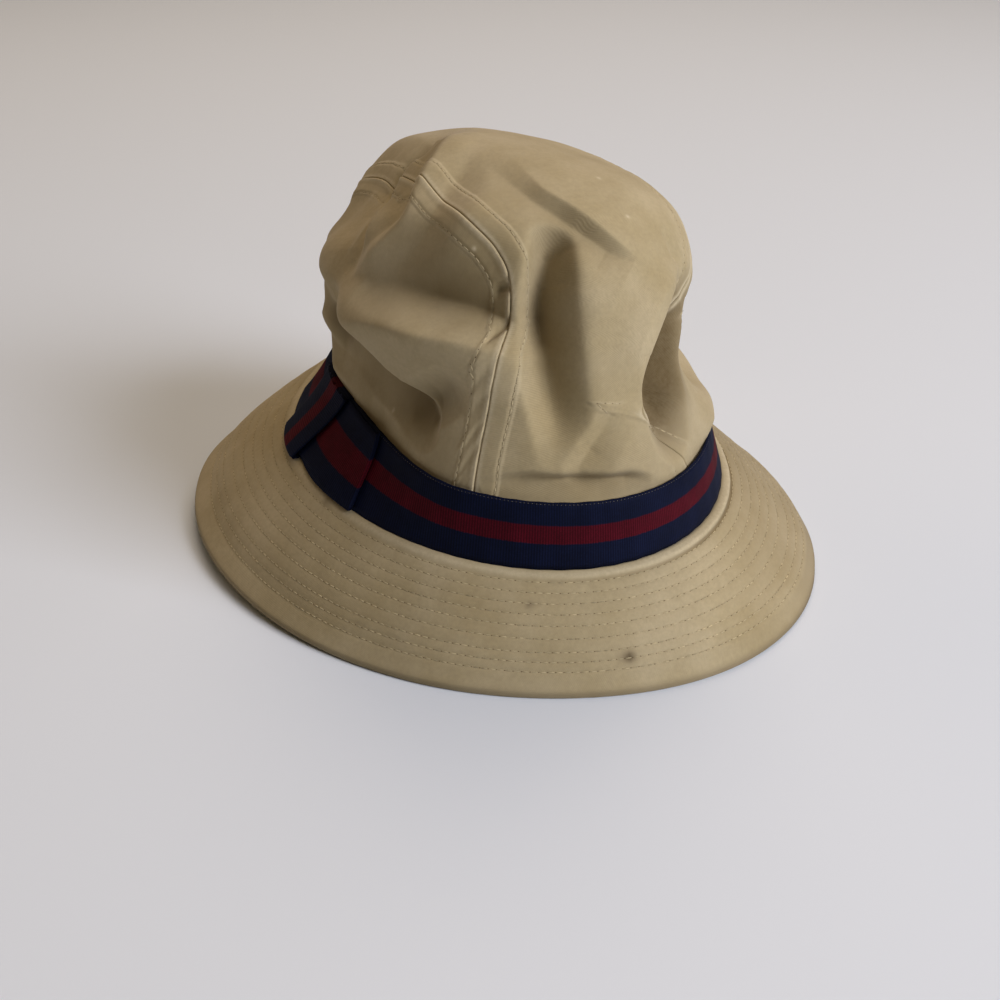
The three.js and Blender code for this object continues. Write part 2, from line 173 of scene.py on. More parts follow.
# The hat's form


@dataclass(frozen=True)
class Level:
    """One level line of the smooth crown: height, half widths, sideways shift and the bow side's lean."""

    name: str
    z: float
    half_x: float
    front: float
    back: float
    shift_x: float
    lean: float


LEVELS = (
    Level("brim_seam", z=39.6, half_x=81.6, front=106.7, back=106.7, shift_x=0.0, lean=0.0),
    Level("band_top", z=63.6, half_x=74.3, front=105.3, back=98.0, shift_x=-1.9, lean=15.5),
    Level("waist", z=88.0, half_x=67.5, front=97.0, back=92.5, shift_x=-2.0, lean=9.0),
    Level("bulge", z=112.0, half_x=66.5, front=92.0, back=88.0, shift_x=-2.0, lean=0.0),
    Level("shoulder", z=134.0, half_x=61.0, front=81.0, back=79.0, shift_x=-2.0, lean=0.0),
    Level("tip_edge", z=149.5, half_x=46.0, front=61.0, back=61.0, shift_x=-2.0, lean=0.0),
    Level("tip", z=157.0, half_x=24.0, front=33.0, back=33.0, shift_x=-2.0, lean=0.0),
    Level("tip_middle", z=159.0, half_x=0.0, front=0.0, back=0.0, shift_x=-2.0, lean=0.0),
)
FOOT = LEVELS[0]


@dataclass(frozen=True)
class Fold:
    """A fold in the cloth.

    The path runs over cloth places (across, along), 1 at the brim seam and 0 at the top. left and
    right are the flank widths beside it, push the depth along it (in is minus), radius the rounding
    of the fold line, softness that of its flanks' ends, and the last field the painted shade in its hollow.
    """

    name: str
    left: float | tuple[float, ...]
    right: float | tuple[float, ...]
    push: tuple[float, ...]
    radius: float
    path: tuple[tuple[float, float], ...]
    softness: float = 0.12
    # Painted shade laid into the fold's hollow, most where it is pushed in furthest
    fold_shade: float = 0.0


# The folds of the solids, as the dressed cloth has them
FOLDS = (
    Fold("top_dent", (8, 4.5, 3.4, 3, 2.8, 2.2), 20, (-1, -3.2, -4.6, -5, -4, -0.3), 1.0,
         ((-0.088, -0.12), (-0.067, -0.229), (-0.028, -0.294), (0.004, -0.338), (0.043, -0.386),
          (0.094, -0.424)), softness=0.05, fold_shade=0.25),
    Fold("left_pinch", (6, 8, 10, 10, 9, 7), (4, 4, 4.5, 5, 5, 5), (-13, -17, -16, -13, -8, -2), 5.0,
         ((-0.088, -0.345), (-0.13, -0.4), (-0.19, -0.48), (-0.225, -0.58), (-0.23, -0.66),
          (-0.235, -0.72)), softness=0.2, fold_shade=0.3),
    Fold("right_pinch", (8, 14, 14, 14, 12), (10, 9, 9, 9, 10), (-4, -13, -15, -12, -5), 1.0,
         ((0.34, -0.44), (0.265, -0.535), (0.21, -0.61), (0.2, -0.66), (0.25, -0.73)),
         softness=0.06, fold_shade=0.7),
    Fold("left_tuck", 5, (16, 18, 18, 18, 16, 13, 12), (0, -2, -5, -7.5, -8.5, -9, -5), 0.8,
         ((-0.59, 0.4), (-0.655, 0.19), (-0.67, 0.03), (-0.675, -0.11), (-0.67, -0.225),
          (-0.655, -0.33), (-0.625, -0.43)), softness=0.05, fold_shade=0.55),
    Fold("left_bulge", 12, 5, (0, 0.5, 2.5, 3, 2, 2, 1), 1.0,
         ((-0.525, 0.33), (-0.57, 0.19), (-0.585, 0.05), (-0.595, -0.085), (-0.61, -0.175),
          (-0.63, -0.265), (-0.64, -0.36))),
    Fold("left_flat", 16, 14, (-6, -6, -7), 6.0, ((-0.41, 0.3), (-0.47, 0.12), (-0.53, 0.03))),
    Fold("shelf", 9, 20, (4, 5, 3), 3.0, ((-0.58, -0.12), (-0.48, -0.32), (-0.37, -0.45))),
    Fold("shoulder_facet", 30, 9, (-9, -13, -12, -7), 2.0,
         ((-0.52, -0.12), (-0.42, -0.29), (-0.32, -0.4), (-0.25, -0.468)), fold_shade=0.25),
    Fold("band_crease", 2.5, 8, (-0.3, -3.5, -5.5, -6, -5, -0.5), 0.6,
         ((-0.524, -0.66), (-0.396, -0.716), (-0.26, -0.772), (-0.1, -0.812), (0.016, -0.824),
          (0.116, -0.836)), fold_shade=0.2),
    Fold("dimple", 5, 9, (-2.5, -4, -2.5, -0.5), 0.8,
         ((-0.178, -0.768), (-0.124, -0.752), (-0.068, -0.728), (-0.028, -0.7))),
    Fold("left_slope", 24, 24, (-10, -11, -9), 10.0, ((-0.26, 0.26), (-0.29, 0.04), (-0.29, -0.08))),
    Fold("right_waist", 20, 22, (-15, -9), 8.0, ((0.6, -0.33), (0.62, 0.1))),
    Fold("right_shoulder", 18, 18, (2, 1), 8.0, ((0.38, -0.3), (0.4, -0.1))),
    Fold("tip_back", 30, 30, (-4, -4), 12.0, ((0.2, 0.3), (0.22, -0.04))),
    Fold("back_left", 14, 20, (-7, -2), 3.0, ((-0.3, 0.46), (-0.4, 0.64))),
    Fold("back_right", 18, 12, (-8, -3), 3.0, ((0.28, 0.44), (0.34, 0.68))),
)


# Creases and rolls that only the dressed cloth shows
CREASES = (
    Fold("crest_valley", (14, 12, 8, 7, 7, 6), (16, 14, 11, 9, 8, 7), (-2, -9, -14, -10, -6, -1), 2.0,
         ((-0.08, 0.1), (-0.148, 0.112), (-0.212, 0.102), (-0.297, 0.068), (-0.41, 0.028),
          (-0.51, 0.012)), fold_shade=0.35),
    Fold("crest", 12, 6, (1, 4, 6, 5.5, 4.5, 3, 0.5), 0.8,
         ((-0.068, 0.04), (-0.136, -0.012), (-0.196, -0.056), (-0.268, -0.096), (-0.332, -0.112),
          (-0.448, -0.088), (-0.54, -0.036))),
    Fold("lower_roll", 7, 6, (0, 4, 5.5, 3, 1), 3.0,
         ((-0.62, 0.54), (-0.73, 0.37), (-0.8, 0.2), (-0.825, 0.03), (-0.81, -0.15))),
    Fold("right_roll", 8, 4, (0, 4, 4, 3, 0), 3.0,
         ((0.46, -0.7), (0.6, -0.585), (0.72, -0.42), (0.8, -0.2), (0.81, 0.1))),
    Fold("back_slope", (11, 16, 16, 16), 26, (-7, -9, -8, -4), 8.0,
         ((-0.1, 0.16), (-0.24, 0.17), (-0.36, 0.14), (-0.5, 0.1))),
    Fold("back_wall", 9, 12, (3, 7, 6, 3), 4.0, ((-0.56, 0.46), (-0.66, 0.29), (-0.69, 0.18), (-0.7, 0.12))),
    Fold("waist_limb", 14, 14, (-4.5, -4.5), 4.0, ((0.5, -0.42), (0.465, -0.51))),
    # Shallow dents that mostly carry painted shade: the dark gap at the left and the dark hollow at the right
    Fold("gap_shade", 5, 7, (-1, -3, -3, -1), 1.5,
         ((-0.64, 0.2), (-0.68, 0.15), (-0.71, 0.1), (-0.73, 0.06)), fold_shade=0.6),
    Fold("hollow_shade", 14, 16, (-0.5, -1, -1, -0.5), 2.0,
         ((0.4, -0.44), (0.36, -0.53), (0.33, -0.6), (0.29, -0.68)), fold_shade=0.9),
    Fold("pocket", 8, 9, (-3, -6, -5), 2.0, ((-0.63, -0.385), (-0.57, -0.425), (-0.51, -0.45)), fold_shade=0.4),
    Fold("top_right_dip", 4, 4, (-1, -2, -1), 0.8, ((0.256, -0.344), (0.276, -0.368), (0.296, -0.384))),
    Fold("right_wall", (4, 6, 7, 8, 8), 14, (-2, -12, -14, -10, -2), 1.0,
         ((0.4, -0.43), (0.365, -0.5), (0.34, -0.57), (0.3, -0.65), (0.3, -0.71)), softness=0.06, fold_shade=0.4),
    Fold("right_lip", 10, 10, (2, 2.5, 2, 1.5, 0), 0.6,
         ((0.218, -0.454), (0.131, -0.524), (0.078, -0.584), (0.07, -0.607), (0.08, -0.666))),
)


@dataclass(frozen=True)
class SeamStation:
    """Where the two crown seams pass, as cloth places, at one station from the front to the back."""

    name: str
    left: tuple[float, float]
    right: tuple[float, float]


SEAM_STATIONS = (
    SeamStation("front_foot", (-0.656, -0.755), (0.438, -0.899)),
    SeamStation("front_low", (-0.531, -0.638), (0.31, -0.765)),
    SeamStation("front_middle", (-0.4, -0.55), (0.1, -0.708)),
    SeamStation("front_pinch", (-0.29, -0.47), (0.27, -0.59)),
    SeamStation("front_shoulder", (-0.215, -0.385), (0.36, -0.45)),
    SeamStation("front_kink", (-0.2, -0.315), (0.37, -0.34)),
    SeamStation("front_tip", (-0.217, -0.21), (0.355, -0.21)),
    SeamStation("middle", (-0.215, -0.05), (0.355, -0.05)),
    SeamStation("back_tip", (-0.21, 0.13), (0.35, 0.13)),
    SeamStation("back_shoulder", (-0.215, 0.3), (0.345, 0.3)),
    SeamStation("back_middle", (-0.29, 0.47), (0.36, 0.47)),
    SeamStation("back_low", (-0.45, 0.62), (0.42, 0.65)),
    SeamStation("back_foot", (-0.656, 0.755), (0.469, 0.883)),
)
FOOT_PRESS = 5.0
FOOT_PRESS_ARC = Arc(138.0, 38.0)


def pressed_foot(angle: Array) -> Array:
    """Return how far the crown's foot is drawn in behind the bow, at angles round the hat."""
    return FOOT_PRESS * FOOT_PRESS_ARC.at(angle)


@dataclass(frozen=True)
class CrownForm:
    """The crown's outside as a function of the cloth place."""

    lean: Arc = Arc(162.0, 66.0, 3.0)
    press_from: float = 0.87
    tilt_fade_from: float = 60.0
    tilt_fade_over: float = 60.0
    fold_steps: int = 6
    fold_fade: float = 0.16
    fold_reach: float = 3.0
    step: float = 0.002

    def smooth(self, place: Array) -> Array:
        """Return the points of the crown before any fold.

        Args:
            place: Cloth places, with across and along on the last axis.

        Returns:
            Points in millimetres.
        """
        table = np.array([(v.z, v.half_x, v.front, v.back, v.shift_x, v.lean) for v in LEVELS])
        over_top = np.array([1.0, -1.0, -1.0, -1.0, 1.0, 1.0])
        radius = np.maximum(np.linalg.norm(place, axis=-1), TINY)
        rows = smooth_rows(table, np.clip(1.0 - radius, 0.0, 1.0) * (len(LEVELS) - 1), over_top)
        z, half_x, front, back, shift_x, lean = np.moveaxis(rows, -1, 0)
        half_y = np.where(place[..., 1] < 0, front, back)
        way = place / radius[..., None]
        angle = np.arctan2(place[..., 1], place[..., 0])
        pressed = lean * self.lean.at(angle)
        pressed = pressed + pressed_foot(angle) * smooth_step(radius, self.press_from, 1.0)
        outward = unit(way * np.stack([half_y, half_x], -1))
        x = shift_x + half_x * way[..., 0] - pressed * outward[..., 0]
        y = half_y * way[..., 1] - pressed * outward[..., 1]
        fade = np.clip(1.0 - (z - self.tilt_fade_from) / self.tilt_fade_over, 0.0, 1.0)
        return np.stack([x, y, z + (TILT_X * x + TILT_Y * y) * fade], -1)

    def facing(self, place: Array) -> Array:
        """Return the directions that the smooth crown faces at cloth places."""
        across, along = np.array([self.step, 0.0]), np.array([0.0, self.step])
        du = self.smooth(place + across) - self.smooth(place - across)
        dv = self.smooth(place + along) - self.smooth(place - along)
        return unit(np.cross(du, dv))

    def fold_push(self, fold: Fold, points: Array) -> Array:
        """Work out one fold.

        Args:
            fold: The fold.
            points: Points of the smooth crown.

        Returns:
            How far the fold moves each point outwards.
        """
        path = np.array(fold.path)
        count = (len(path) - 1) * self.fold_steps
        line_place = smooth_rows(path, np.linspace(0, len(path) - 1, count + 1))
        line, facing = self.smooth(line_place), self.facing(line_place)
        nearest = np.full(len(points), np.inf)
        side, share = np.zeros(len(points)), np.zeros(len(points))
        for i in range(count):
            leg = line[i + 1] - line[i]
            span = max(float(leg @ leg), TINY)
            way = np.clip((points - line[i]) @ leg / span, 0.0, 1.0)
            offset = points - line[i] - way[:, None] * leg
            distance = np.linalg.norm(offset, axis=1)
            leftward = np.cross(facing[i], leg / math.sqrt(span))
            closer = distance < nearest
            nearest = np.where(closer, distance, nearest)
            side = np.where(closer, offset @ leftward / np.maximum(distance, TINY), side)
            share = np.where(closer, (i + way) / count, share)
        left, right, depth = (along_path(values, share) for values in (fold.left, fold.right, fold.push))
        flank = right + (left - right) * (side + 1.0) / 2.0
        reach = np.hypot(nearest, fold.radius) - fold.radius
        rest = 1.0 - reach / flank
        whole = (1.0 + math.hypot(1.0, fold.softness)) / 2.0
        return depth * (rest + np.hypot(rest, fold.softness)) / 2.0 / whole

    def folded(self, place: Array) -> tuple[Array, Array]:
        """Work out the folded crown.

        Args:
            place: Cloth places, with across and along on the last axis.

        Returns:
            Points in millimetres, and the share of painted shade that the folds lay in their hollows there.
        """
        flat = place.reshape(-1, 2)
        points = self.smooth(flat)
        push, fold_shade = np.zeros(len(flat)), np.zeros(len(flat))
        for fold in FOLDS + CREASES:
            line = self.smooth(np.array(fold.path))
            room = self.fold_reach * max(np.max(fold.left), np.max(fold.right))
            near = ((points > line.min(0) - room) & (points < line.max(0) + room)).all(1)
            depth = self.fold_push(fold, points[near])
            push[near] += depth
            # Painted shade in each fold's hollow, in step with how far it is pushed in
            fold_shade[near] += fold.fold_shade * np.clip(-depth / np.max(np.abs(fold.push)), 0.0, 1.0)
        push *= smooth_step(1.0 - np.linalg.norm(flat, axis=1), 0.0, self.fold_fade)
        shaped = points + push[:, None] * self.facing(flat)
        return shaped.reshape(*place.shape[:-1], 3), fold_shade.reshape(place.shape[:-1])


@dataclass(frozen=True)
class BrimForm:
    """The brim's upper face as a function of the angle and the share of the way out."""

    slope: float = 50.2
    swell: float = 5.0
    swell_at: float = math.radians(-27.5)
    backward: float = 1.3
    backward_at: float = math.radians(112.0)
    lift: float = 5.7
    lift_arc: Arc = Arc(148.0, 74.0)
    rise: float = 2.05
    cloth: float = 2.2
    gap: float = 0.3
    start: float = BAND_OUT

    def foot(self, angle: Array) -> tuple[Array, Array]:
        """Return the crown's foot at the angles, and the level directions that face straight out."""
        x, y = FOOT.half_x * np.cos(angle), FOOT.front * np.sin(angle)
        out = unit(heading(angle) / np.array([FOOT.half_x, FOOT.front]))
        return np.stack([x, y, FOOT.z + TILT_X * x + TILT_Y * y], -1), out

    def lift_here(self, angle: Array) -> Array:
        """Return how far the brim's edge stands off the surface at the angles."""
        return self.lift * self.lift_arc.at(angle)

    def section(self, angle: Array, out_share: Array) -> tuple[Array, Array]:
        """Work out the brim's upper face.

        Args:
            angle: Angles round the hat.
            out_share: Shares of the way from the crown to the edge.

        Returns:
            Points in millimetres and the directions that they face.
        """
        foot, out = self.foot(angle)
        outward = np.arctan2(out[..., 1], out[..., 0])
        slope = self.slope + self.swell * np.cos(2.0 * (outward - self.swell_at))
        slope = slope + self.backward * np.cos(outward - self.backward_at)
        lift = self.lift_here(angle)
        drop = foot[..., 2] - lift
        run = np.sqrt(slope**2 - drop**2)
        rise = self.rise * 4.0 * out_share * (1.0 - out_share)
        top, edge = foot[..., 2] - self.gap, lift + self.cloth
        pressed = pressed_foot(angle) * (1.0 - out_share) ** 3
        reach = self.start + run * out_share + rise * drop / slope - pressed
        height = top + (edge - top) * out_share + rise * run / slope
        points = np.concatenate([foot[..., :2] + out * reach[..., None], height[..., None]], -1)
        lean = (drop - self.cloth + self.gap) / run
        return points, unit(np.concatenate([out * lean[..., None], np.ones_like(lean)[..., None]], -1))


FORM = CrownForm()
BRIM_FORM = BrimForm()


def hat_middle() -> Array:
    """Return where the crown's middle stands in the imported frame, read from the ribbon's solid."""
    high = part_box("hat_band")[1]
    return np.array([high.x / MM - FOOT.half_x - BAND_OUT, high.y / MM - FOOT.front - BAND_OUT, 0.0])


MIDDLE = hat_middle()


def to_frame(points: Array) -> Array:
    """Return points of the hat's own frame, in millimetres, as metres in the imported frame."""
    return (points + MIDDLE) * MM


def ribbon_point(angle: Array, share: Array, out: Array) -> Array:
    """Return points on the ribbon's seat.

    Args:
        angle: Angles round the hat.
        share: Shares of the ribbon's height.
        out: Distances off the crown.

    Returns:
        Points in millimetres.
    """
    radius = 1.0 - share * BAND_LEVELS / (len(LEVELS) - 1)
    place = radius[..., None] * heading(angle)
    level = FORM.facing(place * (1.0 - FORM.step))
    level[..., 2] = 0.0
    return FORM.smooth(place) + unit(level) * out[..., None]


# Small tools for meshes


class Slot(Enum):
    """The material slots of the record."""

    CLOTH = "cotton_twill"
    RIBBON = "striped_ribbon"


def clear_selection() -> None:
    """Leave nothing selected."""
    bpy.ops.object.select_all(action="DESELECT")


def raw_corners(piece: bpy.types.Object) -> Array:
    """Return the corners of a mesh as they are stored."""
    corners = np.empty(len(piece.data.vertices) * 3)
    piece.data.vertices.foreach_get("co", corners)
    return corners.reshape(-1, 3)


def points_of(piece: bpy.types.Object) -> Array:
    """Return the corners of a mesh, in millimetres of the hat's own frame."""
    return raw_corners(piece) / MM - MIDDLE


def facing_of(piece: bpy.types.Object) -> Array:
    """Return the direction that each corner of a mesh faces."""
    normals = np.empty(len(piece.data.vertices) * 3, dtype=np.float32)
    piece.data.vertices.foreach_get("normal", normals)
    return normals.reshape(-1, 3).astype(float)


def move_points(piece: bpy.types.Object, points: Array) -> None:
    """Move the corners of a mesh to points in millimetres of the hat's own frame."""
    piece.data.vertices.foreach_set("co", to_frame(points).ravel())
    piece.data.update()


def name_active(name: str) -> bpy.types.Object:
    """Name the active object and its mesh, and return it."""
    piece = bpy.context.object
    piece.name = piece.data.name = name
    return piece


def sheet_shares(columns: int, rows: int) -> list[Array]:
    """Return the shares across and along a sheet at the corners of its cells."""
    return np.meshgrid(np.arange(columns + 1) / columns, np.arange(rows + 1) / rows)


def grid_sheet(name: str, points: Array) -> bpy.types.Object:
    """Add a grid and move its corners to a sheet's points.

    Args:
        name: Name of the piece.
        points: Rows of points along the sheet, in millimetres.

    Returns:
        The new object, selected and active.
    """
    rows, columns = points.shape[0] - 1, points.shape[1] - 1
    clear_selection()
    bpy.ops.mesh.primitive_grid_add(x_subdivisions=columns, y_subdivisions=rows, size=2.0, location=(0, 0, 0))
    piece = name_active(name)
    across, along, _ = ((raw_corners(piece) + 1.0) / 2.0).T
    column, row = np.rint(across * columns).astype(int), np.rint(along * rows).astype(int)
    move_points(piece, points[row, column])
    return piece


def ring_body(name: str, points: Array) -> tuple[bpy.types.Object, Array, Array]:
    """Add a torus and move its corners to a closed ring's points.

    A torus has at most 256 segments, so a ring with more columns is thinned to the nearest ones.

    Args:
        name: Name of the piece.
        points: Rows of points round the hat, in the order round the ring's section, in millimetres.

    Returns:
        The new object, selected and active, and the column and the row of each of its corners.
    """
    rows, columns = points.shape[:2]
    clear_selection()
    bpy.ops.mesh.primitive_torus_add(
        major_segments=columns, minor_segments=rows, major_radius=1.0, minor_radius=0.25, location=(0, 0, 0))
    piece = name_active(name)
    x, y, z = raw_corners(piece).T
    column = np.rint(np.arctan2(y, x) / TURN * columns).astype(int) % columns
    row = np.rint(np.arctan2(z, np.hypot(x, y) - 1.0) / TURN * rows).astype(int) % rows
    move_points(piece, points[row, column])
    return piece, column, row


def set_point_values(piece: bpy.types.Object, name: str, values: Array) -> None:
    """Store one number for each corner of a mesh as a named attribute."""
    layer = piece.data.attributes.new(name, "FLOAT", "POINT")
    layer.data.foreach_set("value", np.asarray(values, dtype=np.float32).ravel())


def set_uv(piece: bpy.types.Object, across: Array, along: Array, wrap: float = 0.0) -> None:
    """Lay out a mesh's pattern in metres.

    Args:
        piece: The mesh object.
        across: Distance across the cloth for each corner, in millimetres.
        along: Distance along the cloth for each corner, in millimetres.
        wrap: Length of a closed ring, so that the last cells run on past its start.
    """
    corner = np.empty(len(piece.data.loops), dtype=np.int32)
    piece.data.loops.foreach_get("vertex_index", corner)
    run = along[corner].reshape(-1, 4)
    if wrap:
        is_split = (run.max(1) - run.min(1) > wrap / 2)[:, None]
        run = np.where(is_split & (run < wrap / 2), run + wrap, run)
    pairs = np.stack([across[corner], run.ravel()], -1) * MM
    layer = piece.data.uv_layers.active or piece.data.uv_layers.new(name="UVMap")
    layer.data.foreach_set("uv", pairs.astype(np.float32).ravel())


def edit_mesh(action: Callable[..., set[str]], **settings: object) -> None:
    """Run one operator on the whole of the active mesh."""
    bpy.ops.object.mode_set(mode="EDIT")
    bpy.ops.mesh.select_all(action="SELECT")
    action(**settings)
    bpy.ops.object.mode_set(mode="OBJECT")


def thicken(piece: bpy.types.Object, thickness: float, is_rim_only: bool = False) -> None:
    """Give a sheet its thickness inwards with a Solidify modifier that is then applied.

    Args:
        piece: The sheet.
        thickness: Thickness in millimetres.
        is_rim_only: Whether only the sheet's edges get it, where a second layer would never show.
    """
    clear_selection()
    piece.select_set(True)
    bpy.context.view_layer.objects.active = piece
    wall = piece.modifiers.new("cloth thickness", "SOLIDIFY")
    wall.thickness = thickness * MM
    wall.offset = -1.0
    wall.use_even_offset = False
    wall.use_rim_only = is_rim_only
    bpy.ops.object.modifier_apply(modifier=wall.name)
    bpy.ops.object.shade_smooth()


def settle(piece: bpy.types.Object, nodes: Sequence[str]) -> None:
    """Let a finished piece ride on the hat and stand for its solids."""
    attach(piece, "root")
    if nodes:
        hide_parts(*nodes)
    LOG.info("%s: %d faces", piece.name, len(piece.data.polygons))


# Finishes


Socket = bpy.types.NodeSocket
Tree = bpy.types.NodeTree
Range = tuple[float, float]
WAVE_RANGE: Range = (-1.0, 1.0)
NOISE_RANGE: Range = (0.3, 0.7)


def linear(code: str) -> tuple[float, float, float, float]:
    """Return an sRGB hex colour as linear red, green, blue and alpha."""
    parts = [int(code[i:i + 2], 16) / 255.0 for i in (1, 3, 5)]
    red, green, blue = (p / 12.92 if p <= 0.04045 else ((p + 0.055) / 1.055) ** 2.4 for p in parts)
    return red, green, blue, 1.0


def add_node(tree: Tree, kind: str, inputs: dict | None = None, **settings: object) -> bpy.types.Node:
    """Add a node with its settings and links.

    Args:
        tree: The node tree.
        kind: The node's type.
        inputs: Socket names or numbers with values, or with sockets to link from.
        settings: Properties of the node.

    Returns:
        The new node.
    """
    node = tree.nodes.new(kind)
    for key, value in settings.items():
        setattr(node, key, value)
    for key, value in (inputs or {}).items():
        if isinstance(value, Socket):
            tree.links.new(value, node.inputs[key])
        else:
            node.inputs[key].default_value = value
    return node


def noise_node(
    tree: Tree, place: bpy.types.Node, size: float, detail: float, roughness: float = 0.5
) -> Socket:
    """Return noise on the object's own coordinates, with lumps of a size in millimetres."""
    return add_node(tree, "ShaderNodeTexNoise", {
        "Vector": place.outputs["Object"], "Scale": 1.0 / (size * MM), "Detail": detail,
        "Roughness": roughness}).outputs["Fac"]


def remap_node(tree: Tree, value: Socket, old: Range, new: Range = (0.0, 1.0)) -> Socket:
    """Return a value carried from one range to another and held to its ends."""
    return add_node(tree, "ShaderNodeMapRange", {
        "Value": value, "From Min": old[0], "From Max": old[1], "To Min": new[0],
        "To Max": new[1]}).outputs["Result"]


def math_node(tree: Tree, operation: str, *values: Socket | float, is_clamped: bool = False) -> Socket:
    """Return the result of a sum on sockets and numbers."""
    return add_node(tree, "ShaderNodeMath", dict(enumerate(values)), operation=operation,
                    use_clamp=is_clamped).outputs[0]


def mix_node(tree: Tree, share: Socket, first: object, second: object) -> Socket:
    """Return a blend of two colours."""
    return add_node(tree, "ShaderNodeMix", {"Factor": share, "A": first, "B": second},
                    data_type="RGBA").outputs["Result"]


def rib_node(tree: Tree, place: bpy.types.Node, operation: str, pitch: float, slant: float) -> Socket:
    """Return ribs on the cloth's own layout: a wave of a pitch in millimetres, turned by a slant."""
    rate = TURN / (pitch * MM)
    run = add_node(tree, "ShaderNodeVectorMath", {
        0: place.outputs["UV"], 1: (rate * math.cos(slant), rate * math.sin(slant), 0.0)},
        operation="DOT_PRODUCT")
    return math_node(tree, operation, run.outputs["Value"])


@dataclass(frozen=True)
class Finish:
    """A finish by its name, with what all finishes share."""

    name: str

    def start(self, **constants: float) -> tuple[bpy.types.Material, Tree, bpy.types.Node]:
        """Start the material.

        Args:
            constants: The shader's own values, by socket name with spaces as underscores.

        Returns:
            The material, its node tree and its main shader.
        """
        material = bpy.data.materials.new(self.name)
        material.use_nodes = True
        shader = material.node_tree.nodes["Principled BSDF"]
        for socket, value in constants.items():
            shader.inputs[socket.replace("_", " ")].default_value = value
        return material, material.node_tree, shader

    def tint(self, tree: Tree, shader: bpy.types.Node, colour: object, amount: Socket) -> None:
        """Link a colour, made lighter and darker by an amount, to the shader."""
        final = add_node(tree, "ShaderNodeVectorMath", {0: colour, "Scale": amount}, operation="SCALE")
        tree.links.new(final.outputs["Vector"], shader.inputs["Base Color"])

    def emboss(
        self, tree: Tree, shader: bpy.types.Node, height: Socket, strength: float, depth: float
    ) -> None:
        """Link a fine relief, of a depth in millimetres, to the shader."""
        relief = add_node(tree, "ShaderNodeBump", {
            "Strength": strength, "Distance": depth * MM, "Height": height})
        tree.links.new(relief.outputs["Normal"], shader.inputs["Normal"])


@dataclass(frozen=True)
class TwillCloth(Finish):
    """Washed khaki cotton twill: matt, faintly mottled, with fine slanting ribs and a soft nap."""

    name: str = "washed_cotton_twill"
    body: str = "#A89771"
    faded: str = "#B9A986"
    worn: str = "#CDBF9E"
    # Dark tone for dirt and for painted shade
    grime_and_shade_tone: str = "#5F4D2E"
    stained: str = "#4A3A24"
    mottle: float = 38.0
    mottle_range: Range = (0.35, 0.68)
    nap: float = 1.6
    nap_height: float = 1.4
    # Real twill ribs are about 0.5 mm apart; these are coarser so that they show in the render.
    rib_pitch: float = 0.62
    rib_slant: float = math.radians(62.0)
    rib_shade: Range = (0.985, 1.008)
    nap_shade: Range = (0.93, 1.06)
    breakup: Range = (0.85, 1.12)

    def material(self) -> bpy.types.Material:
        """Return the material, which reads the wear, the dirt with painted shade, and the stain of each
        corner.
        """
        material, tree, shader = self.start(
            Roughness=0.92, IOR=1.46, Specular_IOR_Level=0.25, Sheen_Weight=0.12, Sheen_Roughness=0.5)
        place = add_node(tree, "ShaderNodeTexCoord")
        mottle = noise_node(tree, place, self.mottle, detail=4.0, roughness=0.6)
        nap = noise_node(tree, place, self.nap, detail=3.0, roughness=0.7)
        fade = remap_node(tree, mottle, self.mottle_range)
        colour = mix_node(tree, fade, linear(self.body), linear(self.faded))
        broken = remap_node(tree, nap, NOISE_RANGE, self.breakup)
        # Dirt mixed with painted shade, then wear, then stains
        for layer, tone in (("grime_and_shade", self.grime_and_shade_tone), ("wear", self.worn), ("stain", self.stained)):
            amount = add_node(tree, "ShaderNodeAttribute", attribute_name=layer)
            share = math_node(tree, "MULTIPLY", amount.outputs["Fac"], broken, is_clamped=True)
            colour = mix_node(tree, share, colour, linear(tone))
        rib = rib_node(tree, place, "SINE", self.rib_pitch, self.rib_slant)
        shade = remap_node(tree, rib, WAVE_RANGE, self.rib_shade)
        speck = remap_node(tree, nap, NOISE_RANGE, self.nap_shade)
        self.tint(tree, shader, colour, math_node(tree, "MULTIPLY", shade, speck))
        height = math_node(tree, "MULTIPLY_ADD", nap, self.nap_height, rib)
        self.emboss(tree, shader, height, strength=0.14, depth=0.12)
        return material


